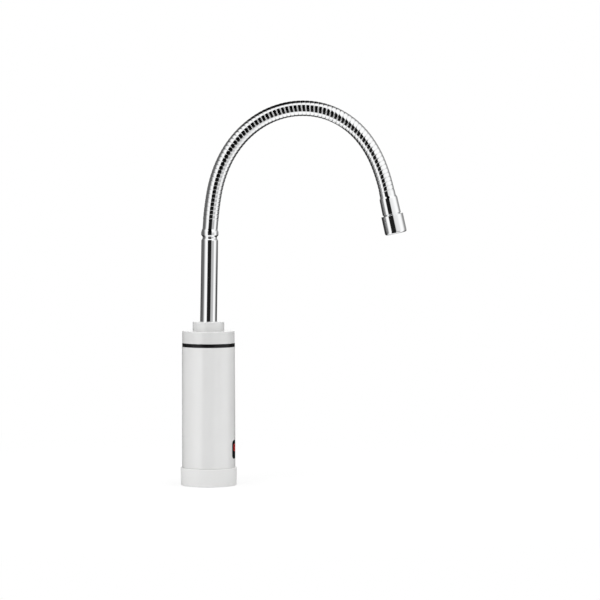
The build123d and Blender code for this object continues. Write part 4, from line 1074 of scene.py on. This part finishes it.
def add_world():
    """Plain white world. The camera sees it at full white, and it lights the object at a plain level."""
    world = bpy.data.worlds.new("studio")
    bpy.context.scene.world = world
    tree = emptied_tree(world)
    seen = add_node(tree, "LightPath").outputs["Is Camera Ray"]
    level = remapped(tree, seen, 0.0, 1.0, ambient_level, 1.0, "LINEAR")
    light = add_node(tree, "Background", {"Color": white, "Strength": level})
    add_node(tree, "OutputWorld", {"Surface": light.outputs[0]})


def add_stage_piece(name, points, faces):
    """Mesh object of the studio, and the empty tree of its material."""
    mesh = bpy.data.meshes.new(name)
    mesh.from_pydata(points.tolist(), [], faces)
    mesh.materials.append(bpy.data.materials.new(name))
    return add_object(name, mesh), emptied_tree(mesh.materials[0])


def cut_mask(tree, place, cuts):
    """Mask of the places that lie inside every cut."""
    mask = None
    for heading, reach, soft in cuts:
        way = (cos(radians(heading)), sin(radians(heading)), 0)
        ahead = vector_maths(tree, "DOT_PRODUCT", place, way)
        side = remapped(tree, ahead, reach - soft, reach + soft, 1.0, 0.0)
        mask = side if mask is None else maths(tree, "MULTIPLY", mask, side)
    return mask


def laid_over(tree, below, mask, level):
    """A grey level laid over another by a mask."""
    return add_node(tree, "Mix", {0: mask, 2: below, 3: level}, data_type="FLOAT").outputs[0]


def add_tent():
    """Light tent that only glossy rays see: a ball round the object, white in front and grey behind,
    with the dark opening for the camera and pale cards right of it. A place on the tent is its angle
    from the camera's direction, split into an angle across and an angle up."""
    turn = np.linspace(0, 2 * pi, tent_columns, endpoint=False)
    rise = np.linspace(-pi / 2, pi / 2, tent_rows + 1)[:, None]
    wall = wall_points(np.cos(rise), turn, np.sin(rise))
    points, _, faces = grid_patch(wall * tent_r, -wall, False, True)
    tent, tree = add_stage_piece("light_tent", points + tent_middle, faces.tolist())
    places = add_node(tree, "TexCoord").outputs["Object"]
    moved = vector_maths(tree, "SUBTRACT", places, tent_middle)
    direction = vector_maths(tree, "NORMALIZE", moved)
    parts = add_node(tree, "SeparateXYZ", {"Vector": direction}).outputs
    away = maths(tree, "ARCCOSINE", maths(tree, "MULTIPLY", parts["Y"], -1.0))
    angle = maths(tree, "MULTIPLY", away, degrees(1))
    flat = add_node(tree, "CombineXYZ", {"X": parts["X"], "Y": parts["Z"]}).outputs["Vector"]
    place = vector_maths(tree, "MULTIPLY", vector_maths(tree, "NORMALIZE", flat), angle)
    room = back_level
    for level, cuts in [*back_parts, (front_level, front_cuts), *front_parts]:
        room = laid_over(tree, room, cut_mask(tree, place, cuts), level)
    room = laid_over(tree, room, remapped(tree, angle, *straight_behind, kind="LINEAR"), 1.0)
    glow = add_node(tree, "Emission", {"Color": white, "Strength": room})
    add_node(tree, "OutputMaterial", {"Surface": glow.outputs[0]})
    tent.active_material.cycles.emission_sampling = "NONE"
    for ray in ("camera", "diffuse", "transmission", "volume_scatter", "shadow"):
        setattr(tent, "visible_" + ray, False)


def add_floor():
    """Pale round floor. The camera sees it as white as the background, less a part of its shadow, and
    that part fades out towards its rim."""
    rim = wall_points(floor_r, np.linspace(0, 2 * pi, 96, endpoint=False), 0.0)
    floor, tree = add_stage_piece("floor", rim, [list(range(len(rim)))])
    places = add_node(tree, "TexCoord").outputs["Object"]
    away = vector_maths(tree, "LENGTH", places)
    shade = remapped(tree, away, *shadow_fade, 1 - shadow_share, 1.0)
    seen = maths(tree, "MULTIPLY", add_node(tree, "LightPath").outputs["Is Camera Ray"], shade)
    paint = add_node(tree, "BsdfDiffuse", {"Color": floor_grey}).outputs[0]
    glow = add_node(tree, "Emission", {"Color": white, "Strength": 1.0}).outputs[0]
    mixed = add_node(tree, "MixShader", {0: seen, 1: paint, 2: glow})
    add_node(tree, "OutputMaterial", {"Surface": mixed.outputs[0]})
    floor.visible_glossy = False


def add_lamp(name, place, width, watts):
    """Soft square lamp that faces the lamps' aim."""
    data = bpy.data.lights.new(name, "AREA")
    data.size, data.energy = width, watts
    lamp = add_object(name, data)
    lamp.location = place
    x, y, z = np.subtract(lamp_aim, place)
    lamp.rotation_euler = (atan2(hypot(x, y), -z), 0, atan2(y, x) - pi / 2)
    lamp.visible_glossy = False


add_camera()
add_world()
add_tent()
add_floor()
for name, (place, width, watts) in lamps.items():
    add_lamp(name, place, width, watts)

bpy.context.scene.view_settings.view_transform = "Standard"
